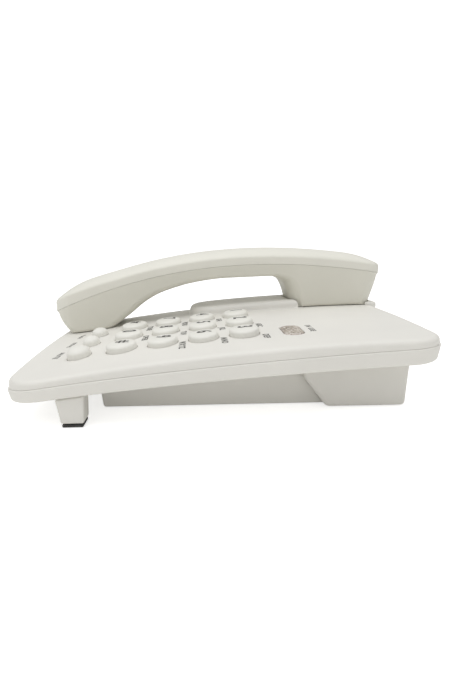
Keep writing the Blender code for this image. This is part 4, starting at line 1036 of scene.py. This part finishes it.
def make_handset_face():
    """The inner cover: closest stations where its end walls turn, and an edge rolled underneath."""
    runs = ((-92, -78, 2), (-78, -64, 1), (-64, 34, 2.4), (34, 50, 0.7), (50, 93, 3))
    spots = np.concatenate([np.arange(*run) for run in runs]) * MM
    steps = 7
    edge = []
    for k in range(steps + 1):
        a = math.pi / 2 * k / steps
        edge.append(((1.2 + 2.2 * (1 - math.sin(a))) * MM,
                     clamped(handset_under, UNDER_ROLL * (1 - math.cos(a)), (1.9 - 0.9 * k / steps) * MM)))
    face = stacked_body("handset_face_cover", handset_outline(spots), edge + levels(
        handset_seam, (0, -0.2), (0.1, -0.06)))
    coarse = [s * MM for s in (-84, -75, -71, -64, -55, -44, -32, -18, 0, 18, 30, 35, 38.5,
                               41, 43.5, 46, 49, 52, 56, 70, 86)]
    cavity = stacked_body("cavity", handset_outline(coarse, 4, 3), [
        (HANDSET_WALL + 3.2 * MM, clamped(handset_under_inside, 0.0, 0.8 * MM)),
        (HANDSET_WALL + 1.2 * MM, clamped(handset_under_inside, 1.2 * MM, 0.5 * MM)),
        (HANDSET_WALL, shifted(handset_seam, 1.5 * MM))])
    carve(face, ("DIFFERENCE", [cavity]), ("DIFFERENCE", handset_holes()))
    # The inner cover takes the darker copy of the handset plastic, which carries painted shade in its
    # colour
    finish_piece(face, "handset", INNER_PAINTED_SHADE, ["handset_inner_shell"], angle=28)


def handset_holes():
    holes = []
    for count, reach in ((1, 0), (6, 5 * MM), (12, 10 * MM)):
        for k in range(count):
            turn = math.tau * k / count
            x, y = HANDSET_X + reach * math.cos(turn), EAR_Y + reach * math.sin(turn)
            holes.append(rod("ear hole", (x, y, 0.034), (x, y, 0.0435), 1.0 * MM, 20))
    for k in range(5):
        x = HANDSET_X + (k - 2) * 3.4 * MM
        holes.append(box("mouth slot", (x - 0.7 * MM, MOUTH_Y - 5 * MM, 0.018),
                         (x + 0.7 * MM, MOUTH_Y + 5 * MM, 0.028), 0.55 * MM))
    (width, height), (low, high) = CORD_SOCKET, HANDSET_SOCKET_Z
    holes.append(box("socket", (HANDSET_X - width / 2 - SOCKET_RIM, -0.112, low - height / 2),
                     (HANDSET_X + width / 2 + SOCKET_RIM, -94 * MM, high + height / 2), 0.8 * MM))
    return holes


# -------- studio

SKY, FLOOR_GLOW, TABLE_GLOW = 0.86, 0.6, 0.085
TOP_PLACE, TOP_SIZE, TOP_WATTS = (0.1, -0.15, 0.9), 0.9, 3.0
FLOOR_RADIUS, WALL_RADIUS, WALL_HEIGHT, TABLE_RADIUS = 6.0, 5.9, 12.0, 3.0
LENS_LENGTH, SENSOR_WIDTH = 25.86, 36
CAMERA_PLACE, AWAY_FROM_SUBJECT = (0.27725, -0.01617, 0.08263), (0.97736, -0.05979, 0.20294)


def staged_plane(name, size, z, colour, glow):
    bm = bmesh.new()
    bmesh.ops.create_circle(bm, cap_ends=True, segments=96, radius=size)
    bmesh.ops.translate(bm, vec=(0, 0, z), verts=bm.verts)
    plane = add_object(name, mesh_from(bm, name))
    made, tree, shader = new_material(name, 0.9)
    feed(shader, {"Base Color": (*colour, 1), "Specular IOR Level": 0.0,
                  "Emission Color": (1, 1, 1, 1), "Emission Strength": glow})
    plane.data.materials.append(made)
    return plane


def make_softbox():
    light = bpy.data.lights.new("softbox_top", "AREA")
    light.shape = "DISK"
    light.size, light.energy = TOP_SIZE, TOP_WATTS
    lamp = add_object("softbox_top", light)
    lamp.location = TOP_PLACE
    lamp.rotation_euler = (-Vector(TOP_PLACE)).to_track_quat("-Z", "Y").to_euler()


def make_studio():
    """A pale floor and a wall round it that only the camera sees, over a table that only lights."""
    SCENE.view_settings.view_transform = "Standard"
    world = bpy.data.worlds.new("studio")
    SCENE.world = world
    world.use_nodes = True
    tree = world.node_tree
    place = tree.nodes.new("ShaderNodeTexCoord").outputs["Generated"]
    split = tree.nodes.new("ShaderNodeSeparateXYZ")
    tree.links.new(place, split.inputs["Vector"])
    sky = ramp(tree, split.outputs["Z"], [(0.0, (0.46, 0.455, 0.44)), (0.35, (0.635, 0.635, 0.625)),
                                          (0.7, (0.90, 0.90, 0.895)), (1.0, (1.0, 1.0, 1.0))])
    tree.links.new(sky, tree.nodes["Background"].inputs["Color"])
    feed(tree.nodes["Background"], {"Strength": SKY})
    floor = staged_plane("floor", FLOOR_RADIUS, -0.0002, (0.9, 0.9, 0.9), FLOOR_GLOW)
    bm = bmesh.new()
    bmesh.ops.create_cone(bm, segments=96, radius1=WALL_RADIUS, radius2=WALL_RADIUS, depth=WALL_HEIGHT)
    wall = add_object("backdrop", mesh_from(bm, "backdrop"))
    wall.data.materials.append(floor.data.materials[0])
    for piece in (floor, wall):
        piece.visible_diffuse = False
        piece.visible_glossy = False
        piece.visible_shadow = False
    table = staged_plane("table", TABLE_RADIUS, -0.0006, (0.92, 0.915, 0.90), TABLE_GLOW)
    table.visible_camera = False
    make_softbox()


def make_camera():
    data = bpy.data.cameras.new("camera")
    data.lens = LENS_LENGTH
    data.sensor_width = SENSOR_WIDTH
    data.clip_start = 0.005
    camera = add_object("camera", data)
    back = Vector(AWAY_FROM_SUBJECT).normalized()
    right = Vector((0, 0, 1)).cross(back).normalized()
    up = back.cross(right)
    camera.matrix_world = (Matrix.Translation(CAMERA_PLACE)
                           @ Matrix((right, up, back)).transposed().to_4x4())
    SCENE.camera = camera


make_camera()
make_case_top()
make_case_bottom()
make_stand()
make_legs()
make_window()
make_keys()
make_case_lettering()
make_screws()
make_slide_knobs()
make_hook_button()
make_contacts()
make_handset_back()
make_handset_face()
for row in frame["record"]["subparts"]:
    node = frame["nodes"][row["node"]]
    node.data.materials.clear()
    node.data.materials.append(SLOT_MATERIALS[row["material_slot"]])
make_studio()
